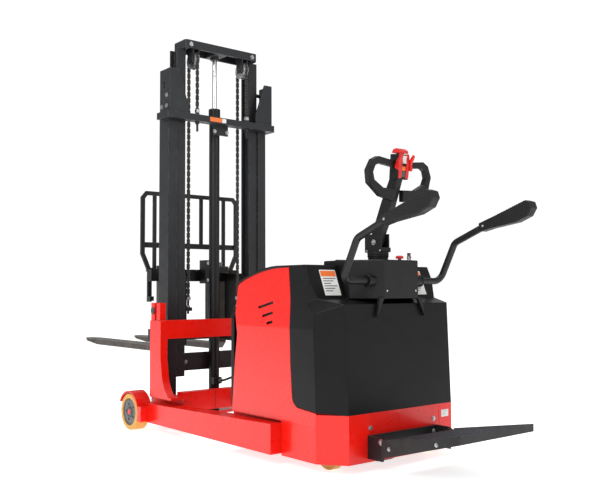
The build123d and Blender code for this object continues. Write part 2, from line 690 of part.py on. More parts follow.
with BuildPart() as crossbars:
    outer = crossbarHalf
    with BuildSketch(Plane.XY.offset(crossbarLow)) as wrap:
        with Locations((0, mastY - crossbarDepth / 2)):
            Rectangle(2 * outer, crossbarDepth)
        for side in (-1, 1):
            with Locations((side * (outer + mastHalf) / 2, mastY + 36)):
                Rectangle(outer - mastHalf, 74)
        fillet(wrap.vertices().group_by(Axis.Y)[0], 24)
    extrude(wrap.sketch, amount=mastTop - crossbarLow)
    # clamp arm that steadies the lift cylinder
    block(-30, 30, mastY - 8, mastMid - cylinderRadius - 0.3, crossbarLow - 52, crossbarLow + 1)
    block(-46, 62, mastY - 8, mastY + 4, crossbarLow - 60, crossbarLow + 1)
    # chain anchor bolts through the bar, with a nut above and below
    for side in (-1, 1):
        x = side * sheaveX
        y = sheaveY - sheavePitch
        rod(x, y, (rearAnchorTop + crossbarLow - 62) / 2, 7, rearAnchorTop - crossbarLow + 62)
        rod(x, y, mastTop + 6, 13, 12)
        rod(x, y, crossbarLow - 8, 13, 16)
    # low crossbar, behind the channels
    block(-mastHalf, mastHalf, mastY - 40, mastY, 112, 190)
    # brackets on the top crossbar, and the axles of the rollers that guide the inner mast
    for side in (-1, 1):
        x0, x1 = sorted((side * (mastHalf + 5), side * (mastHalf + 17)))
        block(x0, x1, mastY - 38, mastMid + 22, mastTop, bracketTop)
        with Locations((side * (mastHalf + 11), mastMid - 28, bracketTop - 92)):
            Box(30, 16, 46, mode=Mode.SUBTRACT)
        with BuildSketch(Plane.XZ.offset(-(mastY - 48))) as gusset:
            with BuildLine():
                Polyline((side * (mastHalf + 17), mastTop), (side * 254, mastTop), (side * 254, mastTop + 60),
                         (side * 322, bracketTop), (side * (mastHalf + 17), bracketTop), close=True)
            make_face()
        extrude(gusset.sketch, amount=-12)
        # axle of the roller that guides the inner mast
        x0, x1 = sorted((side * (webMid + innerWeb / 2 + 2), side * (mastHalf + 6)))
        rod((x0 + x1) / 2, mastMid, bracketTop - 50, 12, x1 - x0, turn=alongX)
save(crossbars.part, "outer_mast_crossbars")

with BuildPart() as guideRollers:
    for side in (-1, 1):
        x0, x1 = sorted((side * (webMid + innerWeb / 2 + 3), side * (webMid + innerWeb / 2 + 23)))
        rod((x0 + x1) / 2, mastMid, bracketTop - 50, stageRoller, x1 - x0, turn=alongX)
    rod(0, mastMid, bracketTop - 50, 12 + runningFit, 2 * mastHalf, turn=alongX, mode=Mode.SUBTRACT)
save(guideRollers.part, "mast_guide_rollers")

with BuildPart() as cylinder:
    low = 72
    rod(0, mastMid, (low + cylinderTop) / 2, cylinderRadius, cylinderTop - low)
    rod(0, mastMid, cylinderTop - 35, cylinderRadius + 4, 70)
    block(-30, 30, mastMid - 44, mastMid - 20, 236, 276)
    rod(0, mastMid, (low + cylinderTop) / 2 + 20, cylinderRadius - 6, cylinderTop - low - 80,
        mode=Mode.SUBTRACT)
    rod(0, mastMid, cylinderTop, rodRadius + runningFit, 200, mode=Mode.SUBTRACT)
save(cylinder.part, "lift_cylinder")

# ---- inner mast ---------------------------------------------------------------------------

with BuildPart() as innerRails:
    for side in (-1, 1):
        x0, x1 = sorted((side * innerIn, side * innerOut))
        block(x0, x1, mastMid - innerDepth / 2, mastMid + innerDepth / 2, innerBottom, innerTop)
        for edge, face in ((innerIn - 1, webMid - innerWeb / 2), (innerOut + 1, webMid + innerWeb / 2)):
            x0, x1 = sorted((side * edge, side * face))
            block(x0, x1, mastMid - innerDepth / 2 + 12, mastMid + innerDepth / 2 - 12,
                  innerBottom - 5, innerTop + 5, mode=Mode.SUBTRACT)
save(innerRails.part, "inner_mast_rails")

with BuildPart() as ties:
    with BuildSketch(Plane.XY.offset(innerTop)) as top:
        with Locations((0, mastMid - 20)):
            Rectangle(2 * topBeamHalf, 150)
        fillet(top.vertices(), 20)
    extrude(top.sketch, amount=topBeamHeight)
    # hollow underside, and the boss for the lift rod
    block(-topBeamHalf + 34, -40, mastMid - 84, mastMid + 44, innerTop - 1, innerTop + topBeamHeight - 10,
          mode=Mode.SUBTRACT)
    block(40, topBeamHalf - 34, mastMid - 84, mastMid + 44, innerTop - 1, innerTop + topBeamHeight - 10,
          mode=Mode.SUBTRACT)
    rod(0, mastMid, innerTop - 8, 27, 20)
    # cheeks and pins of the chain sheaves
    for side in (-1, 1):
        for x in (sheaveX - sheaveWidth / 2 - 9, sheaveX + sheaveWidth / 2 + 2):
            x0, x1 = sorted((side * x, side * (x + 7)))
            plate([(sheaveY - 44, innerTop + topBeamHeight - 12), (sheaveY + 44, innerTop + topBeamHeight - 12),
                   (sheaveY + 20, sheaveZ - 22), (sheaveY - 20, sheaveZ - 22)], x0, x1)
        rod(side * sheaveX, sheaveY, sheaveZ, 11, sheaveWidth + 26, turn=alongX)
    # bottom tie, ahead of the cylinder
    block(-innerIn, innerIn, mastMid + innerDepth / 2 - 12, mastMid + innerDepth / 2,
          innerBottom + 24, innerBottom + 132)
save(ties.part, "inner_mast_ties")

with BuildPart() as liftRod:
    top = innerTop - 18
    rod(0, mastMid, (top + rodFoot) / 2, rodRadius, top - rodFoot)
    rod(0, mastMid, rodFoot + 10, cylinderRadius - 6 - runningFit, 20)
save(liftRod.part, "lift_rod")

with BuildPart() as footRollers:
    for side in (-1, 1):
        x0, x1 = sorted((side * (innerOut + 5), side * (mastHalf - outerWall - 4)))
        rod((x0 + x1) / 2, mastMid, innerBottom + 50, footRoller, x1 - x0, turn=alongX)
        x0, x1 = sorted((side * (webMid + innerWeb / 2), side * (innerOut + 6)))
        rod((x0 + x1) / 2, mastMid, innerBottom + 50, 14, x1 - x0, turn=alongX)
save(footRollers.part, "inner_mast_rollers")

with BuildPart() as groove:
    rod(0, sheaveY, sheaveZ, sheavePitch + 9, chainWidth + 2, turn=alongX)
    rod(0, sheaveY, sheaveZ, sheavePitch - chainThick / 2 - 0.3, chainWidth + 9, turn=alongX,
        mode=Mode.SUBTRACT)

with BuildPart() as sheaves:
    for side in (-1, 1):
        rod(side * sheaveX, sheaveY, sheaveZ, sheavePitch + 5, sheaveWidth, turn=alongX)
        with Locations((side * sheaveX, 0, 0)):
            add(groove.part, mode=Mode.SUBTRACT)
    rod(0, sheaveY, sheaveZ, 11 + runningFit, 2 * mastHalf, turn=alongX, mode=Mode.SUBTRACT)
save(sheaves.part, "chain_sheaves")

# ---- chains: straight strands either side of the sheaves ----------------------------------

with BuildPart() as rearChains:
    for side in (-1, 1):
        x = side * sheaveX
        y = sheaveY - sheavePitch
        block(x - chainWidth / 2, x + chainWidth / 2, y - chainThick / 2, y + chainThick / 2,
              rearAnchorTop, sheaveZ - 2)
save(rearChains.part, "rear_chains")

with BuildPart() as frontChains:
    for side in (-1, 1):
        x = side * sheaveX
        y = sheaveY + sheavePitch
        block(x - chainWidth / 2, x + chainWidth / 2, y - chainThick / 2, y + chainThick / 2,
              frontAnchorTop, sheaveZ - 2)
save(frontChains.part, "front_chains")

# ---- fork carriage ------------------------------------------------------------------------

with BuildPart() as forkCarriage:
    for side in (-1, 1):
        x0, x1 = sorted((side * (innerIn - 22), side * (innerIn - 8)))
        plate([(mastMid - 30, 486), (mastMid + 32, 486), (mastMid + 32, 650), (mastMid + 62, 650),
               (mastMid + 62, 486), (shankRear - 38, 486), (shankRear - 38, 924), (mastMid + 30, 924),
               (mastMid - 30, 900)], x0, x1)
        for z in carriageRollerZ:
            a, b = sorted((side * (innerIn - 9), side * (webMid - innerWeb / 2 - 3)))
            rod((a + b) / 2, mastMid, z, 14, b - a, turn=alongX)
        # chain anchor ledge, with its bolt
        a, b = sorted((side * (sheaveX - 17), side * (innerIn - 20)))
        block(a, b, sheaveY + sheavePitch - 20, sheaveY + sheavePitch + 20, 690, 712)
        rod(side * sheaveX, sheaveY + sheavePitch, (frontAnchorTop + 672) / 2, 7, frontAnchorTop - 672)
    # fork bars: the upper one is notched along its top edge
    block(-330, 330, shankRear - 38, shankRear, barLow, barLow + 76)
    block(-330, 330, shankRear - 38, shankRear, barHigh - 76, barHigh)
    for step in range(13):
        x = -300 + step * 50
        block(x - 8, x + 8, shankRear - 40, shankRear + 2, barHigh - 11, barHigh + 2, mode=Mode.SUBTRACT)
    # stiffening plates between the bars
    for x in (-90, 90):
        block(x - 7, x + 7, shankRear - 46, shankRear - 8, barLow, barHigh)
save(forkCarriage.part, "fork_carriage")

for z, word in zip(carriageRollerZ, ("lower", "upper")):
    with BuildPart() as rollers:
        for side in (-1, 1):
            a, b = sorted((side * (innerIn - 6), side * (webMid - innerWeb / 2 - 3)))
            rod((a + b) / 2, mastMid, z, stageRoller, b - a, turn=alongX)
        rod(0, mastMid, z, 14 + runningFit, 2 * mastHalf, turn=alongX, mode=Mode.SUBTRACT)
    save(rollers.part, f"{word}_carriage_rollers")

with BuildPart() as valve:
    block(16, 116, shankRear - 118, shankRear - 46.3, 860, 1010)
    rod(80, shankRear - 84, 1022, 13, 30)
    rod(80, shankRear - 84, 1042, 8, 14)
save(valve.part, "valve_block")

with BuildPart() as backrest:
    y = forkFace + 4
    with BuildSketch(Plane.XZ.offset(-y)) as frame:
        with BuildLine():
            Polyline((-backrestHalf + 34, backrestTop), (backrestHalf - 34, backrestTop), (backrestHalf, backrestTop - 40),
                     (backrestHalf, 1045), (318, 935), (318, 745), (290, 745), (290, 940), (backrestHalf - 27, 1052),
                     (backrestHalf - 27, backrestTop - 48), (backrestHalf - 44, backrestTop - 26),
                     (-backrestHalf + 44, backrestTop - 26), (-backrestHalf + 27, backrestTop - 48),
                     (-backrestHalf + 27, 1052), (-290, 940), (-290, 745), (-318, 745), (-318, 935),
                     (-backrestHalf, 1045), (-backrestHalf, backrestTop - 40), close=True)
        make_face()
    extrude(frame.sketch, amount=14)
    block(-backrestHalf + 20, backrestHalf - 20, y, y + 14, 1088, 1122)
    for x in (-262, -85, 85, 262):
        block(x - 12, x + 12, y + 1, y + 13, 935 if abs(x) > 200 else 1120, backrestTop - 20)
    # clamps on to the upper and lower fork bars
    for side in (-1, 1):
        for z in (895, 765):
            x0, x1 = sorted((side * 290, side * 318))
            block(x0, x1, shankRear + 0.2, y + 1, z - 14, z + 14)
    block(-318, -262, y, y + 14, 935, 960)
    block(262, 318, y, y + 14, 935, 960)
save(backrest.part, "load_backrest")

for side, word in ((-1, "left"), (1, "right")):
    x = side * forkHalfSpread
    with BuildPart() as fork:
        with BuildSketch(Plane.YZ.offset(x - forkWidth / 2)) as blade:
            with BuildLine():
                Polyline((shankRear + 0.3, barHigh + 24), (forkFace, barHigh + 24), (forkFace, forkTop),
                         (forkFace + forkLength, forkTop), (forkFace + forkLength, forkTop - 10),
                         (forkFace + forkLength - 260, forkTop - forkThick),
                         (shankRear + 40, forkTop - forkThick), (shankRear + 0.3, forkTop - forkThick + 40),
                         close=True)
            make_face()
        extrude(blade.sketch, amount=forkWidth)
        tip = forkFace + forkLength
        half = forkWidth / 2
        planPlate([(x - half, shankRear - 1), (x + half, shankRear - 1), (x + half, tip - 90),
                   (x + half - 26, tip - 14), (x + half - 42, tip), (x - half + 42, tip),
                   (x - half + 26, tip - 14), (x - half, tip - 90)], 0, bodyTop + 200, mode=Mode.INTERSECT)
        # hooks over the upper bar and behind the lower one
        block(x - 40, x + 40, shankRear - 44, shankRear + 1, barHigh + 0.4, barHigh + 24)
        block(x - 40, x + 40, shankRear - 52, shankRear - 38.4, barHigh - 20, barHigh + 24)
    save(fork.part, f"{word}_fork")

# ---- standing platform --------------------------------------------------------------------

hingeY = rear - hingeBehind
deckFront = rear - 104
deckRear = rear - platformReach
frontZ = 160.0
rearZ = frontZ + platformRise

with BuildPart() as bracket:
    block(-bracketHalf, bracketHalf, rear - 10, rear, 62, 165)
    for side in (-1, 1):
        x0, x1 = sorted((side * (bracketHalf - 10), side * bracketHalf))
        plate([(rear - 9, 62), (rear - 92, 62), (hingeY - 16, 120), (hingeY - 16, 158), (hingeY + 6, 165),
               (rear - 9, 165)], x0, x1)
        rod((x0 + x1) / 2, hingeY, hingeZ, hingePin + runningFit, 40, turn=alongX, mode=Mode.SUBTRACT)
save(bracket.part, "platform_bracket")

with BuildPart() as platform:
    for side in (-1, 1):
        x0, x1 = sorted((side * (platformHalf - 10), side * platformHalf))
        plate([(deckFront, 80), (deckFront, frontZ), (deckRear, rearZ), (deckRear, rearZ - 34)], x0, x1)
        # hinge ears inside the bracket
        x0, x1 = sorted((side * (bracketHalf - 23), side * (bracketHalf - 11)))
        plate([(hingeY + 14, hingeZ - 12), (hingeY + 14, hingeZ + 8), (hingeY + 4, hingeZ + 13),
               (deckFront - 16, frontZ - 4), (deckFront - 60, frontZ - 5), (deckFront - 60, frontZ - 34),
               (hingeY - 2, hingeZ - 15)],
              x0, x1)
        rod(side * (bracketHalf - 12), hingeY, hingeZ, hingePin, 34, turn=alongX)
    # tilted deck plate, front and rear cross members
    drop = matThick + 3
    plate([(deckFront - 22, frontZ + 4 - drop), (deckRear, rearZ - drop), (deckRear, rearZ - drop - 6),
           (deckFront - 22, frontZ - 2 - drop)], -platformHalf + 1, platformHalf - 1)
    plate([(deckRear, rearZ), (deckRear, rearZ - 34), (deckRear + 7, rearZ - 34), (deckRear + 7, rearZ - 1)],
          -platformHalf + 1, platformHalf - 1)
    plate([(deckFront - 30, frontZ - 6), (deckFront - 30, 100), (deckFront - 22, 98),
           (deckFront - 22, frontZ - 6)], -platformHalf + 1, platformHalf - 1)
save(platform.part, "platform")

with BuildPart() as mat:
    slope = platformRise / (deckFront - deckRear)
    y0 = deckFront - 40
    y1 = deckRear + 9
    z0 = frontZ + (deckFront - y0) * slope - drop + 0.8
    z1 = frontZ + (deckFront - y1) * slope - drop + 0.8
    plate([(y0, z0), (y1, z1), (y1, z1 + matThick), (y0, z0 + matThick)],
          -platformHalf + 12, platformHalf - 12)
save(mat.part, "platform_mat")

# ---- side arms ----------------------------------------------------------------------------

gripStart = (armY - 266, 1110.0)
gripEnd = (armY - 560, 1194.0)
gripRun = sqrt((gripEnd[0] - gripStart[0]) ** 2 + (gripEnd[1] - gripStart[1]) ** 2)
gripUp = (gripEnd[1] - gripStart[1]) / gripRun
gripBack = (gripEnd[0] - gripStart[0]) / gripRun


def gripPoint(along, above):
    """A (y, z) point given along the grip from its inner end, and above its centre line."""
    return (gripStart[0] + gripBack * along + gripUp * above,
            gripStart[1] + gripUp * along - gripBack * above)


for side, word in ((-1, "left"), (1, "right")):
    with BuildPart() as arm:
        start = (side * (consoleHalf + 2), armY, armPivotZ)
        inside = gripPoint(230, 0)
        with BuildLine() as route:
            FilletPolyline(start, (side * armX, armY, armPivotZ), (side * armX, armY - 98, 1045),
                           (side * armX, gripStart[0], gripStart[1]), (side * armX, *inside),
                           radius=[44, 48, 60])
        with BuildSketch(Plane(start, z_dir=(side, 0, 0))) as tube:
            Circle(armTube)
        sweep(tube.sketch, path=route.line)
    save(arm.part, f"{word}_arm")

    with BuildPart() as grip:
        edge = [gripPoint(a, b) for a, b in ((0, 21), (150, 26), (280, 33), (302, 18), (304, -12),
                                             (272, -40), (205, -46), (60, -25), (0, -21))]
        plate(edge, side * armX - 24, side * armX + 24)
        fillet(grip.edges().filter_by(GeomType.LINE), 6)
    with BuildPart() as bored:
        add(grip.part)
        add(arm.part, mode=Mode.SUBTRACT)
    save(bored.part, f"{word}_grip")

# ---- tiller -------------------------------------------------------------------------------

with BuildPart() as post:
    base = saddleTop + 14 + motorHeight
    rod(0, driveY, (base + 1000) / 2, postRadius, 1000 - base)
    rod(0, driveY, base + 6, postRadius + 22, 12)
    rod(0, driveY, 992, postRadius + 14, 14)
    block(-29, 29, driveY - 58, driveY + 62, 998, 1020)
    for side in (-1, 1):
        x0, x1 = sorted((side * 21, side * 29))
        block(x0, x1, driveY - 50, driveY + 62, 1018, 1086)
        rod((x0 + x1) / 2, driveY, tillerPivotZ, 9 + runningFit, 30, turn=alongX, mode=Mode.SUBTRACT)
save(post.part, "tiller_post")

lean = radians(tillerLean)
headY = driveY - 140
headZ = 1330.0


def headPoint(along, above):
    """A (y, z) point along the tiller's head direction, and above (towards the operator) it."""
    return (headY - sin(lean) * along - cos(lean) * above, headZ + cos(lean) * along - sin(lean) * above)


thumbPivot = headPoint(66, 20)
rockerPivot = headPoint(103, 22)
headPlane = Plane((0, headY, headZ), x_dir=(1, 0, 0), z_dir=(0, -cos(lean), -sin(lean)))

with BuildPart() as tiller:
    plate([(driveY - 16, 1029), (driveY + 16, 1029), (driveY + 30, 1075), (driveY - 44, 1240),
           headPoint(60, -22), headPoint(60, 24), (driveY - 104, 1214), (driveY - 36, 1080),
           (driveY - 24, 1036)], -18, 18)
    rod(0, driveY, tillerPivotZ, 9, 60, turn=alongX)
    # head box, with a socket for the belly switch's stem
    plate([headPoint(10, -28), headPoint(128, -30), headPoint(128, 26), headPoint(10, 30)], -33, 33)
    plate([headPoint(104, -10.3), headPoint(130, -10.3), headPoint(130, 10.3), headPoint(104, 10.3)],
          -14.3, 14.3, mode=Mode.SUBTRACT)
    # bores of the thumb levers' shafts, and the rocker's pocket with its pin holes
    for side in (-1, 1):
        rod(side * 28, *thumbPivot, thumbShaft + runningFit, 14, turn=alongX, mode=Mode.SUBTRACT)
    plate([headPoint(94, 17), headPoint(112, 17), headPoint(112, 34), headPoint(94, 34)], -8.4, 8.4,
          mode=Mode.SUBTRACT)
    rod(0, *rockerPivot, rockerPin + runningFit, 30, turn=alongX, mode=Mode.SUBTRACT)
    # closed hand guards either side, with a web between tube and shaft
    for side in (-1, 1):
        with BuildSketch(headPlane) as loop:
            with BuildLine():
                Polyline((side * 26, -66), (side * 30, -96), (side * 120, -78), (side * (headHalf - 12), -22),
                         (side * headHalf, 36), (side * (headHalf - 26), 88), (side * 150, 106),
                         (side * 26, 92), (side * 26, 62), (side * 146, 74), (side * (headHalf - 44), 62),
                         (side * (headHalf - 32), 30), (side * (headHalf - 44), -4), (side * 110, -36),
                         (side * 26, -40), close=True)
            make_face()
        extrude(loop.sketch, amount=14, both=True)
save(tiller.part, "tiller_arm")

with BuildPart() as belly:
    plate([headPoint(133.5, -26), headPoint(150, -18), headPoint(156, 4), headPoint(146, 24),
           headPoint(133.5, 26)], -30, 30)
    plate([headPoint(112, -10), headPoint(134, -10), headPoint(134, 10), headPoint(112, 10)], -14, 14)
save(belly.part, "belly_switch")

with BuildPart() as thumbs:
    for side in (-1, 1):
        x0, x1 = sorted((side * 33.4, side * 46))
        plate([headPoint(74, 18), headPoint(96, 26), headPoint(128, 52), headPoint(118, 56),
               headPoint(84, 40), headPoint(58, 46), headPoint(50, 40), headPoint(60, 20)], x0, x1)
        x0, x1 = sorted((side * 22, side * 46))
        rod((x0 + x1) / 2, *thumbPivot, thumbShaft, x1 - x0, turn=alongX)
save(thumbs.part, "thumb_levers")

with BuildPart() as rocker:
    plate([headPoint(84, 30), headPoint(103, 27.2), headPoint(122, 30), headPoint(120, 36),
           headPoint(103, 33), headPoint(86, 36)],
          -12, 12)
    # foot on a pin across the pocket
    plate([headPoint(99, 18), headPoint(107, 18), headPoint(107, 30), headPoint(99, 30)], -8, 8)
    rod(0, *rockerPivot, rockerPin, 28, turn=alongX)
save(rocker.part, "lift_rocker")

# ---- hose from the lift cylinder to the carriage beam -------------------------------------

hosePoints = [(12, mastMid - 45, 256), (12, mastMid - 96, 262), (40, mastMid - 150, 285),
              (78, mastMid - 200, 290), (92, rear + lowBeamRear + 34, 280), (92, rear + lowBeamRear + 34, 237.3)]
with BuildPart() as hose:
    with BuildLine() as route:
        FilletPolyline(*hosePoints, radius=[60, 60, 50, 18])
    with BuildSketch(Plane(hosePoints[0], z_dir=(0, -51, 6))) as bore:
        Circle(7)
    sweep(bore.sketch, path=route.line)
save(hose.part, "lift_hose")
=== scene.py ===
import json
import math

import bmesh
import bpy
from mathutils import Matrix, Vector


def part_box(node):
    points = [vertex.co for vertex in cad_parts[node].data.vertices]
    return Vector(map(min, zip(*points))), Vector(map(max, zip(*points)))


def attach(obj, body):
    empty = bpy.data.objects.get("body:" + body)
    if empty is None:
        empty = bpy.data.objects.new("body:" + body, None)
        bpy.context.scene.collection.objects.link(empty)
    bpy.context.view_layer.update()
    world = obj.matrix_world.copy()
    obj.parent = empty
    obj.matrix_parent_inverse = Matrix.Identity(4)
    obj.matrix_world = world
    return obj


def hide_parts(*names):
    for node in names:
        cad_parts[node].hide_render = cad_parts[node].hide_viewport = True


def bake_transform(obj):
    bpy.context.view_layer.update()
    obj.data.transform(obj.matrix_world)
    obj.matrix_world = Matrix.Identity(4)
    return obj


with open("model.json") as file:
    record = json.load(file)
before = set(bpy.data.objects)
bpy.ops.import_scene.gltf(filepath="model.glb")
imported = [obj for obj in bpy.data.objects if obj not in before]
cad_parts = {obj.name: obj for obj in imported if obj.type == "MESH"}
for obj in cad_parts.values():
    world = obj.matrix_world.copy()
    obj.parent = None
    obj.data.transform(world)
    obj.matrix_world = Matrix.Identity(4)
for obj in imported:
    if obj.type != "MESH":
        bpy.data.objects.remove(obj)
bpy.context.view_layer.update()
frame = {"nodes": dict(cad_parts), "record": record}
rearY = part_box("chassis_frame")[0].y    # Y of the chassis rear face
print("frame loaded")


def at(x, y, z):
    """A point in metres from millimetres, with y counted forward from the chassis rear face."""
    return Vector((x / 1000, rearY + y / 1000, z / 1000))


# ---- materials ----------------------------------------------------------------------------

materials = {}


def makeMaterial(name, colour, rough, metallic=0.0, coat=0.0, grain=140.0, grainDepth=0.08, mottle=0.10,
                 wearColour=None, wear=0.0, edge=0.0015, dust=0.0, shine=0.5):
    """A shader with mottled colour, uneven roughness, fine grain, softened edges and edge wear."""
    material = bpy.data.materials.new(name)
    material.use_nodes = True
    nodes, links = material.node_tree.nodes, material.node_tree.links
    shader = nodes["Principled BSDF"]
    shader.inputs["Metallic"].default_value = metallic
    shader.inputs["Coat Weight"].default_value = coat
    shader.inputs["Specular IOR Level"].default_value = shine
    shader.inputs["Coat Roughness"].default_value = 0.06
    place = nodes.new("ShaderNodeTexCoord")

    def noise(scale, detail=4.0):
        n = nodes.new("ShaderNodeTexNoise")
        n.inputs["Scale"].default_value = scale
        n.inputs["Detail"].default_value = detail
        links.new(place.outputs["Object"], n.inputs["Vector"])
        return n.outputs["Fac"]

    def remap(source, low, high, toLow, toHigh):
        n = nodes.new("ShaderNodeMapRange")
        for key, value in (("From Min", low), ("From Max", high),
                           ("To Min", toLow), ("To Max", toHigh)):
            n.inputs[key].default_value = value
        links.new(source, n.inputs["Value"])
        return n.outputs["Result"]

    def mix(factor, first, second):
        n = nodes.new("ShaderNodeMix")
        n.data_type = "RGBA"
        for socket, value in ((n.inputs["Factor"], factor), (n.inputs["A"], first),
                              (n.inputs["B"], second)):
            if isinstance(value, bpy.types.NodeSocket):
                links.new(value, socket)
            else:
                socket.default_value = value
        return n.outputs["Result"]

    # colour: slow mottling between a darker and a lighter shade
    broad = noise(7.0, 6.0)
    dark = tuple(c * (1 - mottle) for c in colour) + (1,)
    light = tuple(min(1, c * (1 + mottle)) for c in colour) + (1,)
    shade = mix(remap(broad, 0.3, 0.7, 0, 1), dark, light)
    roughness = remap(noise(23.0, 5.0), 0.3, 0.75, rough * 0.85, min(1, rough * 1.25))
    # softened edges, and where they are worn
    bevel = nodes.new("ShaderNodeBevel")
    bevel.samples = 6
    bevel.inputs["Radius"].default_value = edge
    if wear > 0:
        form = nodes.new("ShaderNodeNewGeometry")
        wide = nodes.new("ShaderNodeBevel")
        wide.samples = 4
        wide.inputs["Radius"].default_value = edge * 2.2
        facing = nodes.new("ShaderNodeVectorMath")
        facing.operation = "DOT_PRODUCT"
        links.new(wide.outputs["Normal"], facing.inputs[0])
        links.new(form.outputs["Normal"], facing.inputs[1])
        scuffed = nodes.new("ShaderNodeMath")
        scuffed.operation = "MULTIPLY"
        links.new(remap(facing.outputs["Value"], 0.97, 0.80, 0, 1), scuffed.inputs[0])
        links.new(remap(noise(55.0, 8.0), 0.56 - wear * 0.2, 0.66 - wear * 0.2, 0, 1),
                  scuffed.inputs[1])
        shade = mix(scuffed.outputs["Value"], shade, (wearColour or light)[:3] + (1,))
    if dust > 0:
        form = nodes.new("ShaderNodeNewGeometry")
        parts = nodes.new("ShaderNodeSeparateXYZ")
        links.new(form.outputs["Normal"], parts.inputs[0])
        top = nodes.new("ShaderNodeMath")
        top.operation = "MULTIPLY"
        links.new(remap(parts.outputs["Z"], 0.5, 1.0, 0, dust), top.inputs[0])
        links.new(remap(noise(17.0, 8.0), 0.35, 0.7, 0.2, 1), top.inputs[1])
        shade = mix(top.outputs["Value"], shade, (0.42, 0.39, 0.35, 1))
    links.new(shade, shader.inputs["Base Color"])
    links.new(roughness, shader.inputs["Roughness"])
    bump = nodes.new("ShaderNodeBump")
    bump.inputs["Strength"].default_value = grainDepth
    bump.inputs["Distance"].default_value = 0.001
    links.new(noise(grain, 3.0), bump.inputs["Height"])
    links.new(bevel.outputs["Normal"], bump.inputs["Normal"])
    links.new(bump.outputs["Normal"], shader.inputs["Normal"])
    materials[name] = material
    return material


steelGrey = (0.34, 0.33, 0.32)
finishes = {
    "red_paint": dict(colour=(0.74, 0.007, 0.002), rough=0.30, coat=0.2, shine=0.35, grain=420,
                      grainDepth=0.05,
                      mottle=0.05, wearColour=(0.75, 0.05, 0.03), wear=0.3, edge=0.0025),
    "red_cover": dict(colour=(0.78, 0.007, 0.002), rough=0.26, coat=0.3, shine=0.35, grain=260,
                      grainDepth=0.04,
                      mottle=0.04, edge=0.003),
    "black_cover": dict(colour=(0.0042, 0.0043, 0.0045), rough=0.36, shine=0.18, grain=900,
                        grainDepth=0.18, mottle=0.15, edge=0.005),
    "black_paint": dict(colour=(0.006, 0.006, 0.0065), rough=0.42, shine=0.35, grain=500,
                        grainDepth=0.08,
                        mottle=0.2, wearColour=(0.10, 0.10, 0.10), wear=0.4),
    "mast_paint": dict(colour=(0.017, 0.018, 0.020), rough=0.45, shine=0.3, grain=330, grainDepth=0.12,
                       mottle=0.16, wearColour=(0.13, 0.13, 0.135), wear=0.5, edge=0.002, dust=0.1),
    "fork_steel": dict(colour=(0.060, 0.050, 0.042), rough=0.5, metallic=0.35, grain=180,
                       grainDepth=0.25,
                       mottle=0.35, wearColour=steelGrey, wear=0.9, edge=0.003, dust=0.25),
    "bare_steel": dict(colour=(0.42, 0.42, 0.43), rough=0.33, metallic=1.0, grain=240, grainDepth=0.1,
                       mottle=0.12),
    "chrome_rod": dict(colour=(0.66, 0.66, 0.68), rough=0.12, metallic=1.0, grain=300, grainDepth=0.03,
                       mottle=0.06),
    "chain_steel": dict(colour=(0.075, 0.070, 0.064), rough=0.42, metallic=0.8, grain=400,
                        grainDepth=0.2,
                        mottle=0.3, edge=0.0006),
    "tread_yellow": dict(colour=(0.62, 0.33, 0.06), rough=0.5, grain=200, grainDepth=0.25, mottle=0.2,
                         wearColour=(0.35, 0.22, 0.08), wear=0.5, edge=0.004),
    "tread_dark": dict(colour=(0.02, 0.019, 0.018), rough=0.7, grain=160, grainDepth=0.3, mottle=0.2),
    "mat_rubber": dict(colour=(0.012, 0.014, 0.021), rough=0.48, grain=600, grainDepth=0.3, mottle=0.2,
                       edge=0.0006),
    "black_rubber": dict(colour=(0.007, 0.007, 0.007), rough=0.5, shine=0.3, grain=700,
                         grainDepth=0.2, mottle=0.2),
    "black_plastic": dict(colour=(0.0045, 0.0046, 0.005), rough=0.45, shine=0.3, grain=1100,
                          grainDepth=0.3,
                          mottle=0.15, edge=0.002),
    "red_plastic": dict(colour=(0.62, 0.012, 0.008), rough=0.34, grain=500, grainDepth=0.08,
                        mottle=0.08),
    "white_plastic": dict(colour=(0.62, 0.61, 0.58), rough=0.45, grain=500, grainDepth=0.1,
                          mottle=0.06),
    "battery_case": dict(colour=(0.05, 0.06, 0.07), rough=0.5, grain=300, grainDepth=0.15, mottle=0.2),
    "motor_paint": dict(colour=(0.028, 0.028, 0.030), rough=0.6, grain=110, grainDepth=0.5,
                        mottle=0.25,
                        dust=0.2),
    # finishes of small pieces only
    "label_white": dict(colour=(0.74, 0.74, 0.72), rough=0.38, grain=900, grainDepth=0.03, mottle=0.03,
                        edge=0.0002),
    "label_orange": dict(colour=(0.80, 0.16, 0.02), rough=0.4, grain=900, grainDepth=0.03, mottle=0.05,
                         edge=0.0002),
    "label_grey": dict(colour=(0.09, 0.09, 0.10), rough=0.4, grain=900, grainDepth=0.03, mottle=0.05,
                       edge=0.0002),
    "emblem_grey": dict(colour=(0.10, 0.10, 0.105), rough=0.35, metallic=0.6, grain=700,
                        grainDepth=0.05,
                        mottle=0.08, edge=0.0004),
    # near-black: for dark seams, and as painted shade behind the side panels' vents
    "seam_black": dict(colour=(0.003, 0.003, 0.003), rough=0.8, grain=500, grainDepth=0.1, mottle=0.1),
}
for name, finish in finishes.items():
    makeMaterial(name, **finish)

for entry in frame["record"]["subparts"]:
    node = frame["nodes"][entry["node"]]
    node.data.materials.clear()
    node.data.materials.append(materials[entry["material_slot"]])
print("materials made")

# ---- shape helpers ------------------------------------------------------------------------


def turned(toward):
    """A rotation that takes +Z to a direction."""
    return Vector((0, 0, 1)).rotation_difference(Vector(toward).normalized()).to_matrix().to_4x4()


def addRod(bm, centre, toward, radius, length, segments=28, endRadius=None):
    """A capped cylinder or cone centred on a point; 6 segments make a hexagon."""
    bmesh.ops.create_cone(bm, cap_ends=True, segments=segments, radius1=radius,
                          radius2=radius if endRadius is None else endRadius, depth=length,
                          matrix=Matrix.Translation(centre) @ turned(toward))


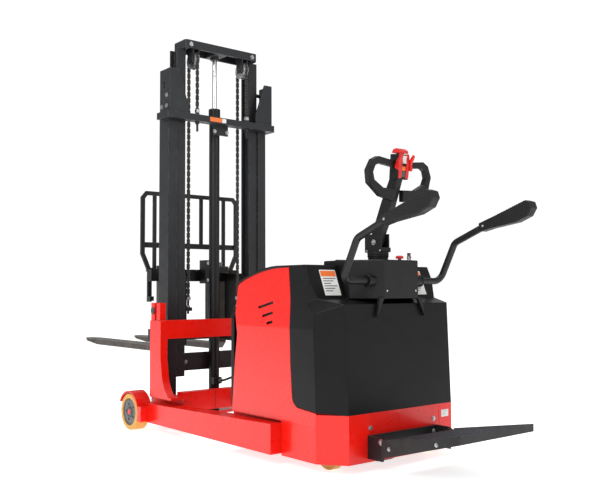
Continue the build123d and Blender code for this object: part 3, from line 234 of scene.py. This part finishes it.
def addBox(bm, centre, size, spin=None):
    """A box centred on a point, optionally turned by a matrix."""
    matrix = Matrix.Translation(centre) @ (spin or Matrix.Identity(4)) @ Matrix.Diagonal((*size, 1))
    bmesh.ops.create_cube(bm, size=1.0, matrix=matrix)


def addSweep(bm, outline, offset):
    """A prism: a closed outline of points, swept by a vector."""
    low = [bm.verts.new(p) for p in outline]
    high = [bm.verts.new(Vector(p) + Vector(offset)) for p in outline]
    count = len(low)
    bm.faces.new(low[::-1])
    bm.faces.new(high)
    for i in range(count):
        bm.faces.new((low[i], low[(i + 1) % count], high[(i + 1) % count], high[i]))


def addRing(bm, centre, toward, radius, tube, segments=40, sides=10):
    """A torus round a direction."""
    spin = Matrix.Translation(centre) @ turned(toward)
    rows = []
    for i in range(segments):
        a = 2 * math.pi * i / segments
        row = []
        for j in range(sides):
            b = 2 * math.pi * j / sides
            reach = radius + tube * math.cos(b)
            row.append(bm.verts.new(spin @ Vector((reach * math.cos(a), reach * math.sin(a),
                                                   tube * math.sin(b)))))
        rows.append(row)
    for i in range(segments):
        for j in range(sides):
            following = rows[(i + 1) % segments]
            bm.faces.new((rows[i][j], following[j], following[(j + 1) % sides],
                          rows[i][(j + 1) % sides]))


def finish(bm, name, slotName, body=None, bevel=0.0, smooth=True):
    """Turn a bmesh into a named piece with its material, riding on a body."""
    bmesh.ops.recalc_face_normals(bm, faces=bm.faces)
    mesh = bpy.data.meshes.new(name)
    bm.to_mesh(mesh)
    bm.free()
    piece = bpy.data.objects.new(name, mesh)
    bpy.context.scene.collection.objects.link(piece)
    mesh.materials.append(materials[slotName])
    if smooth:
        mesh.shade_smooth()
        split = piece.modifiers.new("crease", "EDGE_SPLIT")
        split.split_angle = math.radians(38)
    if bevel:
        rounding = piece.modifiers.new("bevel", "BEVEL")
        rounding.width = bevel
        rounding.segments = 2
        rounding.limit_method = "ANGLE"
    if body:
        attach(piece, body)
    return piece


def tubeAlong(name, slotName, body, points, radius, smooth=True):
    """A round tube through points, as a curve."""
    curve = bpy.data.curves.new(name, "CURVE")
    curve.dimensions = "3D"
    curve.bevel_depth = radius
    curve.bevel_resolution = 5
    curve.use_fill_caps = True
    line = curve.splines.new("BEZIER" if smooth else "POLY")
    held = line.bezier_points if smooth else line.points
    held.add(len(points) - 1)
    for spot, point in zip(held, points):
        if smooth:
            spot.co = point
            spot.handle_left_type = spot.handle_right_type = "AUTO"
        else:
            spot.co = (*point, 1)
    piece = bpy.data.objects.new(name, curve)
    bpy.context.scene.collection.objects.link(piece)
    curve.materials.append(materials[slotName])
    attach(piece, body)
    return piece


# metres, and shares of the bolt's radius
bolt = dict(washerThick=0.0016, washerSpread=1.55, headSpread=1.12, crownSpread=0.62)


def boltGroup(name, body, places, toward, radius, head, slotName="bare_steel"):
    """Hexagon bolts on washers, standing on a face that looks in a direction."""
    out = Vector(toward).normalized()
    thick = bolt["washerThick"]
    bm = bmesh.new()
    for place in places:
        addRod(bm, place + out * (thick / 2), out, radius * bolt["washerSpread"], thick)
        addRod(bm, place + out * (thick + head / 2), out, radius * bolt["headSpread"], head, segments=6)
        addRod(bm, place + out * (thick + head), out, radius * bolt["crownSpread"], head * 0.5,
               segments=16)
    return finish(bm, name, slotName, body, bevel=0.0006)


# ---- chains -------------------------------------------------------------------------------

chain = dict(pitch=19.05, plates=5, plateThick=3.1, width=19.0, high=6.6, pin=3.2)
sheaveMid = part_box("chain_sheaves")
sheaveY = (sheaveMid[0].y + sheaveMid[1].y) / 2
sheaveZ = (sheaveMid[0].z + sheaveMid[1].z) / 2
wrapRadius = (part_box("front_chains")[0].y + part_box("front_chains")[1].y) / 2 - sheaveY
chainX = (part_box("front_chains")[1].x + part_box("front_chains")[1].x - 0.020) / 2


def addLink(bm, middle, along, across, x, place):
    """One row of plates and a pin; the plates of neighbouring rows interleave."""
    half = chain["pitch"] / 2000
    high = chain["high"] / 1000
    outline = []
    for end in (-1, 1):
        for step in range(7):
            a = -math.pi / 2 + math.pi * step / 6
            outline.append((end * (half + high * math.cos(a) * 0.92), end * high * math.sin(a)))
        outline.append((0, end * high * 0.72))
    lanes = range(chain["plates"])
    for lane in lanes:
        if lane % 2 != place % 2:
            continue
        low = x + (lane - chain["plates"] / 2) * chain["width"] / 1000 / chain["plates"]
        points = [middle + along * u + across * v for u, v in outline]
        addSweep(bm, [Vector((low, p.y, p.z)) for p in points], (chain["plateThick"] / 1000, 0, 0))
    pinAt = middle + along * half
    addRod(bm, Vector((x, pinAt.y, pinAt.z)), (1, 0, 0), chain["pin"] / 1000,
           chain["width"] / 1000 + 0.0016, segments=10)


def chainStrands(name, y, low, high, nodeName):
    """Both straight strands at a Y plane, stretching between their two bodies."""
    bm = bmesh.new()
    rows = round((high - low) / (chain["pitch"] / 1000))
    step = (high - low) / rows
    for side in (-1, 1):
        for row in range(rows):
            middle = Vector((0, y, low + (row + 0.5) * step))
            addLink(bm, middle, Vector((0, 0, 1)), Vector((0, 1, 0)), side * chainX, row)
    piece = finish(bm, name, "chain_steel", smooth=False)
    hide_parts(nodeName)
    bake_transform(piece)
    return piece


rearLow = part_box("rear_chains")[0].z
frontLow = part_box("front_chains")[0].z
chainStrands("rear_chain_links", sheaveY - wrapRadius, rearLow, sheaveZ,
             "rear_chains")
chainStrands("front_chain_links", sheaveY + wrapRadius, frontLow, sheaveZ,
             "front_chains")
bm = bmesh.new()
wraps = 8
for side in (-1, 1):
    for i in range(wraps):
        a = math.pi * (i + 0.5) / wraps
        outward = Vector((0, math.cos(a), math.sin(a)))
        addLink(bm, Vector((0, sheaveY, sheaveZ)) + outward * wrapRadius,
                Vector((0, -math.sin(a), math.cos(a))), outward, side * chainX, i)
finish(bm, "chain_wraps", "chain_steel", "inner_mast", smooth=False)

# anchor blocks where the strands end
bm = bmesh.new()
for side in (-1, 1):
    addBox(bm, Vector((side * chainX, sheaveY - wrapRadius, rearLow + 0.004)), (0.024, 0.019, 0.020))
finish(bm, "rear_chain_ends", "bare_steel", "mast", bevel=0.002)
bm = bmesh.new()
for side in (-1, 1):
    addBox(bm, Vector((side * chainX, sheaveY + wrapRadius, frontLow + 0.004)), (0.024, 0.019, 0.020))
    addRod(bm, Vector((side * chainX, sheaveY + wrapRadius, frontLow - 0.045)), (0, 0, 1), 0.012, 0.010,
           segments=6)
finish(bm, "front_chain_ends", "bare_steel", "fork_carriage", bevel=0.002)

# light rim rings and hub caps of the sheaves
bm = bmesh.new()
for side in (-1, 1):
    for face in (-1, 1):
        addRing(bm, Vector((side * chainX + face * 0.0138, sheaveY, sheaveZ)), (1, 0, 0), 0.046, 0.0022)
        addRing(bm, Vector((side * chainX + face * 0.0138, sheaveY, sheaveZ)), (1, 0, 0), 0.021, 0.0020)
finish(bm, "sheave_rings", "bare_steel", "chain_sheaves")
print("chains made")

# ---- wheels -------------------------------------------------------------------------------

hub = dict(radius=76.0, bolts=5, boltCircle=46.0)
for side, word in ((-1, "left"), (1, "right")):
    lo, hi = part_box(f"{word}_load_wheel")
    middle = (lo + hi) / 2
    outer = Vector((side, 0, 0))
    face = (hi.x if side > 0 else lo.x) - side * 0.008
    seat = Vector((face, middle.y, middle.z))
    bm = bmesh.new()
    addRod(bm, seat + outer * 0.0018, outer, hub["radius"] / 1000, 0.0036, segments=48)
    addRing(bm, seat + outer * 0.003, outer, (hub["radius"] - 4) / 1000, 0.0035, segments=48)
    addRing(bm, seat + outer * 0.004, outer, 0.030, 0.003, segments=36)
    addRod(bm, seat + outer * 0.0045, outer, 0.026, 0.005, endRadius=0.021)
    for k in range(hub["bolts"]):
        a = 2 * math.pi * k / hub["bolts"]
        spot = seat + Vector((0, math.cos(a), math.sin(a))) * hub["boltCircle"] / 1000
        addRod(bm, spot + outer * 0.0055, outer, 0.0062, 0.004, segments=6)
    finish(bm, f"{word}_load_wheel_hub", "emblem_grey", f"{word}_load_wheel", bevel=0.0006)
for side, word in ((-1, "left"), (1, "right")):
    lo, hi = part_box(f"{word}_caster_wheel")
    middle = (lo + hi) / 2
    bm = bmesh.new()
    for face in (lo.x, hi.x):
        out = Vector((1 if face > middle.x else -1, 0, 0))
        addRod(bm, Vector((face, middle.y, middle.z)) + out * 0.0006, out, 0.046, 0.0012, segments=36)
        addRing(bm, Vector((face, middle.y, middle.z)) + out * 0.0008, out, 0.040, 0.0016)
    finish(bm, f"{word}_caster_hub", "bare_steel", f"{word}_caster_wheel")
print("wheels made")

# ---- platform -----------------------------------------------------------------------------

mat = dict(ribPitch=13.0, ribWidth=4.6, ribHeight=2.2, lean=38.0)
lo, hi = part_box("platform_mat")
nearTop = Vector((0, hi.y, lo.z + 0.0079))
farTop = Vector((0, lo.y, hi.z))
alongMat = (farTop - nearTop).normalized()
upMat = Vector((1, 0, 0)).cross(alongMat)
if upMat.z < 0:
    upMat = -upMat
matLength = (farTop - nearTop).length
halfWidth = hi.x - 0.006
spin = math.radians(mat["lean"])
ribAlong = Vector((math.cos(spin), math.sin(spin)))
ribAcross = Vector((-math.sin(spin), math.cos(spin)))
bm = bmesh.new()
reach = halfWidth + matLength
count = int(2 * reach / (mat["ribPitch"] / 1000))
for k in range(-count, count):
    base = ribAcross * (k * mat["ribPitch"] / 1000)
    # clip the rib's centre line to the mat
    low, high = -2.0, 2.0
    for start, step, lowEdge, highEdge in ((base.x, ribAlong.x, -halfWidth, halfWidth),
                                           (base.y, ribAlong.y, 0.006, matLength - 0.006)):
        a, b = sorted(((lowEdge - start) / step, (highEdge - start) / step))
        low, high = max(low, a), min(high, b)
    if high - low < 0.012:
        continue
    ends = [base + ribAlong * t for t in (low, high)]
    width = ribAcross * (mat["ribWidth"] / 2000)
    corners = []
    for p, sign in ((ends[0], -1), (ends[1], -1), (ends[1], 1), (ends[0], 1)):
        q = p + width * sign
        q.x = max(-halfWidth, min(halfWidth, q.x))
        q.y = max(0.004, min(matLength - 0.004, q.y))
        corners.append(nearTop + Vector((q.x, 0, 0)) + alongMat * q.y - upMat * 0.0006)
    addSweep(bm, corners, upMat * (mat["ribHeight"] / 1000 + 0.0006))
finish(bm, "mat_ribs", "mat_rubber", "platform", bevel=0.0007, smooth=False)

edgeBolts = ((-150, 128), (-420, 186))
for name, side in (("platform_side_bolts", -1), ("platform_right_bolts", 1)):
    boltGroup(name, "platform", [at(side * 245, y, z) for y, z in edgeBolts], (side, 0, 0),
              0.006, 0.004)
boltGroup("bracket_bolts", "chassis",
          [at(x, -10, z) for x in (-200, 200) for z in (84, 140)], (0, -1, 0), 0.007, 0.005)
for side, word in ((-1, "left"), (1, "right")):
    boltGroup(f"{word}_hinge_nut", "chassis", [at(side * 229, -86, 146)], (side, 0, 0), 0.009, 0.006)
print("platform made")

# ---- body details -------------------------------------------------------------------------

# faint weld seams and bolt washers on the skirt
bm = bmesh.new()
for x in (-225, 251):
    addBox(bm, at(x, -0.4, 153), (0.0026, 0.0012, 0.210))
finish(bm, "skirt_seams", "red_paint", "chassis", bevel=0.0005)
bm = bmesh.new()
for x in (-210, 210):
    addRod(bm, at(x, -0.9, 196), (0, 1, 0), 0.0115, 0.0018)
finish(bm, "skirt_washers", "bare_steel", "chassis", bevel=0.0004)


def labelOn(name, body, middle, right, up, width, height, header=0.22, lines=5, border="label_white",
            headerSlot="label_orange"):
    """A label without text on a flat face: a sheet, a coloured header and plain grey bars."""
    out = right.cross(up).normalized()
    right = right.normalized()
    up = up.normalized()

    def patch(part, slotName, u0, u1, v0, v1, lift):
        bm = bmesh.new()
        outline = [middle + right * u * width + up * v * height + out * lift
                   for u, v in ((u0, v0), (u1, v0), (u1, v1), (u0, v1))]
        addSweep(bm, outline, out * 0.0003)
        finish(bm, f"{name}_{part}", slotName, body, smooth=False)

    patch("sheet", border, -0.5, 0.5, -0.5, 0.5, 0.0002)
    if header:
        patch("header", headerSlot, -0.46, 0.46, 0.46 - header, 0.46, 0.0006)
    for k in range(lines):
        v = 0.38 - header - k * (0.80 - header) / max(1, lines)
        patch(f"bar{k}", "label_grey", -0.40, 0.40 - 0.17 * (k % 3), v - 0.018, v + 0.018, 0.0006)


slantUp = Vector((0, 62, 154)).normalized()
for side, word in ((-1, "left"), (1, "right")):
    labelOn(f"{word}_cover_label", "chassis", at(side * 292, 177, 851), Vector((1, 0, 0)), slantUp,
            0.098, 0.128, lines=6)
labelOn("skirt_label", "chassis", at(292, 0, 214), Vector((1, 0, 0)), Vector((0, 0, 1)), 0.052, 0.034,
        header=0.0, lines=3)
labelOn("crossbar_label", "mast", at(-62, 1506, 1870), Vector((1, 0, 0)), Vector((0, 0, 1)), 0.086,
        0.026, header=0.0, lines=0, border="label_orange")
labelOn("crossbar_label_end", "mast", at(-2, 1506, 1870), Vector((1, 0, 0)), Vector((0, 0, 1)), 0.030,
        0.026, header=0.0, lines=2)
boltGroup("console_screws", "chassis", [at(x, 0, 812) for x in (-96, 96)], (0, -1, 0), 0.0028, 0.0014,
          slotName="white_plastic")
bm = bmesh.new()
addRing(bm, at(52, 62, 957.5), (0, 0, 1), 0.0145, 0.0022)
addRing(bm, at(88, 34, 957.5), (0, 0, 1), 0.0125, 0.0022)
finish(bm, "switch_collars", "bare_steel", "chassis")
bm = bmesh.new()
addRing(bm, at(52, 62, 979.5), (0, 0, 1), 0.012, 0.0011)
finish(bm, "stop_ring", "white_plastic", "emergency_stop")
bm = bmesh.new()
addBox(bm, at(88, 34, 971), (0.006, 0.024, 0.009))
finish(bm, "key_bow", "black_plastic", "key_switch", bevel=0.002)
# the dark rim of the lid along both side panels
lidRim = dict(front=748, rear=345, steps=8, radius=0.004, edge=411, spread=10, drop=6, droop=78)
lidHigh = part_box("top_cover")[1].z
for side, word in ((-1, "left"), (1, "right")):
    points = []
    for k in range(lidRim["steps"] + 1):
        t = k / lidRim["steps"]
        y = lidRim["rear"] + t * (lidRim["front"] - lidRim["rear"])
        drop = lidRim["drop"] + lidRim["droop"] * max(0, (y - 400) / 356) ** 1.75
        points.append(at(side * (lidRim["edge"] + lidRim["spread"] * t), y, lidHigh * 1000 - drop - 2))
    tubeAlong(f"{word}_lid_rim", "black_rubber", "chassis", points, lidRim["radius"])
print("body made")

# ---- tiller -------------------------------------------------------------------------------

tiller = dict(lean=6, headY=16, headZ=1330, headRibs=7, ribPitch=4.2, guardRibs=9, guardPitch=9)
lean = math.radians(tiller["lean"])
headMid = at(0, tiller["headY"], tiller["headZ"])
headAlong = Vector((0, -math.sin(lean), math.cos(lean)))
headAbove = Vector((0, -math.cos(lean), -math.sin(lean)))


def headAt(x, along, above):
    """A point on the tiller's head, in metres from millimetres."""
    return headMid + Vector((x / 1000, 0, 0)) + headAlong * (along / 1000) + headAbove * (above / 1000)


bm = bmesh.new()
for k, z in enumerate((963.5, 971.5, 979.5)):
    addRing(bm, at(0, 156, z), (0, 0, 1), 0.044 + 0.002 * k, 0.0048)
finish(bm, "post_bellows", "black_rubber", "steered_drive")
boltGroup("post_bolts", "steered_drive", [at(-29, y, z) for y, z in ((112, 1004), (205, 1004))],
          (-1, 0, 0), 0.0042, 0.003)
boltGroup("pivot_nuts", "steered_drive", [at(-29, 156, 1046)], (-1, 0, 0), 0.009, 0.005)
boltGroup("pivot_nuts_right", "steered_drive", [at(29, 156, 1046)], (1, 0, 0), 0.009, 0.005)
# emblem and label on the shaft, red trim over the head
bm = bmesh.new()
addBox(bm, headAt(0, 34, 30.6), (0.026, 0.0024, 0.028), Matrix.Rotation(lean, 4, "X"))
finish(bm, "head_emblem", "emblem_grey", "tiller", bevel=0.0006)
bm = bmesh.new()
for k in range(tiller["headRibs"]):
    addBox(bm, headAt(0, 70 + tiller["ribPitch"] * k, 29), (0.058, 0.0035, 0.0018),
           Matrix.Rotation(lean, 4, "X"))
finish(bm, "head_ribs", "black_plastic", "tiller", bevel=0.0005)
labelOn("head_label", "tiller", headAt(0, 62, 29.4), Vector((1, 0, 0)), headAlong, 0.056, 0.022,
        header=0.0, lines=0, border="label_orange")
headLid = [headAt(0, along, above) for along, above in ((14, 30.3), (128, 26.3), (131, 30), (118, 33),
                                                        (66, 35), (20, 34))]
for side, word in ((-1, "left"), (1, "right")):
    bm = bmesh.new()
    addSweep(bm, [p + Vector((side * 0.0145, 0, 0)) for p in headLid], (side * 0.018, 0, 0))
    finish(bm, f"{word}_head_trim", "red_plastic", "tiller", bevel=0.002)
for side, word in ((-1, "left"), (1, "right")):
    bm = bmesh.new()
    for k in range(tiller["guardRibs"]):
        addBox(bm, headAt(side * 191, 54 - tiller["guardPitch"] * k, 14.2), (0.022, 0.0032, 0.003),
               Matrix.Rotation(lean, 4, "X"))
    finish(bm, f"{word}_guard_ribs", "black_rubber", "tiller", bevel=0.0006)
print("tiller made")

# ---- side arms ----------------------------------------------------------------------------

grip = dict(middle=0.328, firstRib=0.118, lastRib=0.272, ribPitch=0.0125)
gripStart = at(0, -216, 1110)
gripAlong = (at(0, -512, 1195) - gripStart).normalized()
gripUp = Vector((1, 0, 0)).cross(gripAlong)
if gripUp.z < 0:
    gripUp = -gripUp
tilt = math.atan2(gripAlong.z, -gripAlong.y)
for side, word in ((-1, "left"), (1, "right")):
    bm = bmesh.new()
    for k in range(14):
        along = grip["firstRib"] + grip["ribPitch"] * k
        if along > grip["lastRib"]:
            break
        high = 0.0235 + 0.0065 * (along - grip["firstRib"]) / 0.13
        centre = (gripStart + gripAlong * along + gripUp * min(high, 0.0325)
                  + Vector((side * grip["middle"], 0, 0)))
        addBox(bm, centre, (0.040, 0.0045, 0.0046), Matrix.Rotation(-tilt, 4, "X"))
    finish(bm, f"{word}_grip_ribs", "black_rubber", f"{word}_arm", bevel=0.0014)
    for face, tag in ((-1, "a"), (1, "b")):
        spot = gripStart + gripAlong * 0.022 + Vector((side * grip["middle"] + face * 0.024, 0, 0))
        boltGroup(f"{word}_grip_screw_{tag}", f"{word}_arm", [spot - Vector((face * 0.0012, 0, 0))],
                  (face, 0, 0), 0.0042, 0.0022)
    bm = bmesh.new()
    addRing(bm, at(side * 178, 50, 858), (1, 0, 0), 0.0265, 0.0030)
    finish(bm, f"{word}_arm_collar", "black_paint", "chassis")
print("arms made")

# ---- mast and carriages -------------------------------------------------------------------

for side, word in ((-1, "left"), (1, "right")):
    out = Vector((side, 0, 0))
    # pivot disc on the lugs of the reach carriage, and its bolts
    bm = bmesh.new()
    addRod(bm, at(side * 496.5, 1500, 700), out, 0.020, 0.005)
    addRod(bm, at(side * 499.5, 1500, 700), out, 0.011, 0.004, segments=6)
    finish(bm, f"{word}_upright_disc", "emblem_grey", "mast", bevel=0.0008)
    boltGroup(f"{word}_bracket_bolts", "mast",
              [at(side * 378, y, z) for y, z in ((1560, 1925), (1620, 1925), (1560, 1990))],
              (side, 0, 0), 0.009, 0.006)
boltGroup("clamp_bolts", "mast", [at(x, 1559, 1810) for x in (-38, 54)], (0, -1, 0), 0.008, 0.006)
boltGroup("top_tie_bolts", "inner_mast", [at(x, 1527, 2320) for x in (-228, 228)], (0, -1, 0),
          0.009, 0.006)
boltGroup("low_tie_bolts", "inner_mast", [at(x, 1655, 378) for x in (-185, 185)], (0, -1, 0),
          0.008, 0.006)
# welds where the crossbars and packers meet the channels
weld = dict(packerBeads=22, packerPitch=3.6, beamBeads=60, beamPitch=5.2)
bm = bmesh.new()
for side in (-1, 1):
    for k in range(weld["packerBeads"]):
        z = 112 + k * weld["packerPitch"]
        addRod(bm, at(side * 361, 1566, z), (side, -1, 0.5), 0.0042, 0.0045, segments=10)
finish(bm, "weld_beads", "mast_paint", "mast")
bm = bmesh.new()
for side in (-1, 1):
    for k in range(weld["beamBeads"]):
        addRod(bm, at(side * (95 + k * weld["beamPitch"]), 1471.6, 540.5), (1, 0.4, 0), 0.0036,
               0.0048, segments=8)
finish(bm, "beam_weld_beads", "red_paint", "mast")
# seam across the lower beam
bm = bmesh.new()
addBox(bm, at(-164, 1349.6, 181), (0.002, 0.0010, 0.108))
finish(bm, "lower_beam_seam", "seam_black", "mast")
# gland of the lift cylinder
bm = bmesh.new()
addRing(bm, at(0, 1622, 1961), (0, 0, 1), 0.030, 0.0035)
addRing(bm, at(0, 1622, 1893), (0, 0, 1), 0.0365, 0.0022)
finish(bm, "cylinder_gland", "bare_steel", "mast")
# fittings of the hose
bm = bmesh.new()
addRod(bm, at(12, 1571, 256.6), (0, -1, 0.1), 0.0115, 0.012, segments=6)
addRod(bm, at(12, 1560, 258), (0, -1, 0.1), 0.0095, 0.018, segments=20)
addRod(bm, at(92, 1384, 243), (0, 0, 1), 0.0115, 0.011, segments=6)
addRod(bm, at(92, 1384, 254), (0, 0, 1), 0.0095, 0.014, segments=20)
finish(bm, "hose_fittings", "bare_steel", "mast", bevel=0.0006)
boltGroup("valve_bolts", "fork_carriage", [at(x, 1749, z) for x in (34, 98) for z in (880, 990)],
          (0, -1, 0), 0.007, 0.006)
# fork latch pins on the hooks over the upper bar
for side, word in ((-1, "left"), (1, "right")):
    bm = bmesh.new()
    addRod(bm, at(side * 197, 1852, 984), (0, 0, 1), 0.010, 0.020)
    addRod(bm, at(side * 197, 1852, 997), (0, 0, 1), 0.014, 0.008)
    finish(bm, f"{word}_fork_pin", "bare_steel", f"{word}_fork", bevel=0.0008)
vent = dict(x=418, y=500, z=705, size=(0.002, 0.150, 0.140))
# painted shade: flat near-black sheets behind the side panels' vents, standing in for the shade inside
# them
bm = bmesh.new()
for side in (-1, 1):
    addBox(bm, at(side * vent["x"], vent["y"], vent["z"]), vent["size"])
finish(bm, "vent_baffles", "seam_black", "chassis", smooth=False)
print("mast made")

# ---- stage, light and camera --------------------------------------------------------------

studio = dict(ambient=0.5, backdrop=1.05, floorGlow=0.75)
bpy.context.scene.view_settings.view_transform = "Standard"
floorMesh = bpy.data.meshes.new("floor")
floorMesh.from_pydata([(-40, -40, 0), (40, -40, 0), (40, 40, 0), (-40, 40, 0)], [], [(0, 1, 2, 3)])
floor = bpy.data.objects.new("floor", floorMesh)
bpy.context.scene.collection.objects.link(floor)
paper = bpy.data.materials.new("floor_paper")
paper.use_nodes = True
paperShader = paper.node_tree.nodes["Principled BSDF"].inputs
paperShader["Base Color"].default_value = (0.9, 0.9, 0.9, 1)
paperShader["Roughness"].default_value = 0.9
paperShader["Emission Color"].default_value = (1, 1, 1, 1)
paperShader["Emission Strength"].default_value = studio["floorGlow"]
floorMesh.materials.append(paper)

world = bpy.data.worlds.new("studio")
bpy.context.scene.world = world
world.use_nodes = True
sky = world.node_tree
sky.nodes["Background"].inputs["Color"].default_value = (1, 1, 1, 1)
sky.nodes["Background"].inputs["Strength"].default_value = studio["ambient"]
paleWall = sky.nodes.new("ShaderNodeBackground")
paleWall.inputs["Color"].default_value = (1, 1, 1, 1)
paleWall.inputs["Strength"].default_value = studio["backdrop"]
path = sky.nodes.new("ShaderNodeLightPath")
choose = sky.nodes.new("ShaderNodeMixShader")
sky.links.new(path.outputs["Is Camera Ray"], choose.inputs[0])
sky.links.new(sky.nodes["Background"].outputs[0], choose.inputs[1])
sky.links.new(paleWall.outputs[0], choose.inputs[2])
sky.links.new(choose.outputs[0], sky.nodes["World Output"].inputs["Surface"])


def softLight(name, place, target, width, height, power):
    """A rectangular studio light that faces a target."""
    data = bpy.data.lights.new(name, "AREA")
    data.shape = "RECTANGLE"
    data.size = width
    data.size_y = height
    data.energy = power
    light = bpy.data.objects.new(name, data)
    light.location = place
    light.rotation_euler = (Vector(target) - Vector(place)).to_track_quat("-Z", "Y").to_euler()
    bpy.context.scene.collection.objects.link(light)
    return light


lamps = {
    "key": dict(place=(-5.5, -2.5, 4.2), target=(0, -0.6, 0.8), width=2.6, height=2.6, power=190),
    "fill": dict(place=(2.0, -6.0, 3.0), target=(0, -0.6, 0.7), width=3.0, height=2.0, power=60),
    "top": dict(place=(0.2, 0.0, 6.0), target=(0, 0, 0.5), width=3.5, height=3.5, power=160),
}
for name, lamp in lamps.items():
    softLight(name, **lamp)

view = dict(place=(-2.7287, -3.8670, 0.8219), yaw=38.907, rise=3.014, roll=-0.221, lens=47.80)
yaw, rise = math.radians(view["yaw"]), math.radians(view["rise"])
ahead = Vector((math.sin(yaw) * math.cos(rise), math.cos(yaw) * math.cos(rise), math.sin(rise)))
right = Vector((math.cos(yaw), -math.sin(yaw), 0))
camData = bpy.data.cameras.new("camera")
camData.lens = view["lens"]
camData.sensor_width = 36
camera = bpy.data.objects.new("camera", camData)
facing = Matrix((right, right.cross(ahead), -ahead)).transposed().to_4x4()
camera.matrix_world = (Matrix.Translation(view["place"]) @ facing
                       @ Matrix.Rotation(math.radians(view["roll"]), 4, "Z"))
bpy.context.scene.collection.objects.link(camera)
bpy.context.scene.camera = camera

print("stage made")
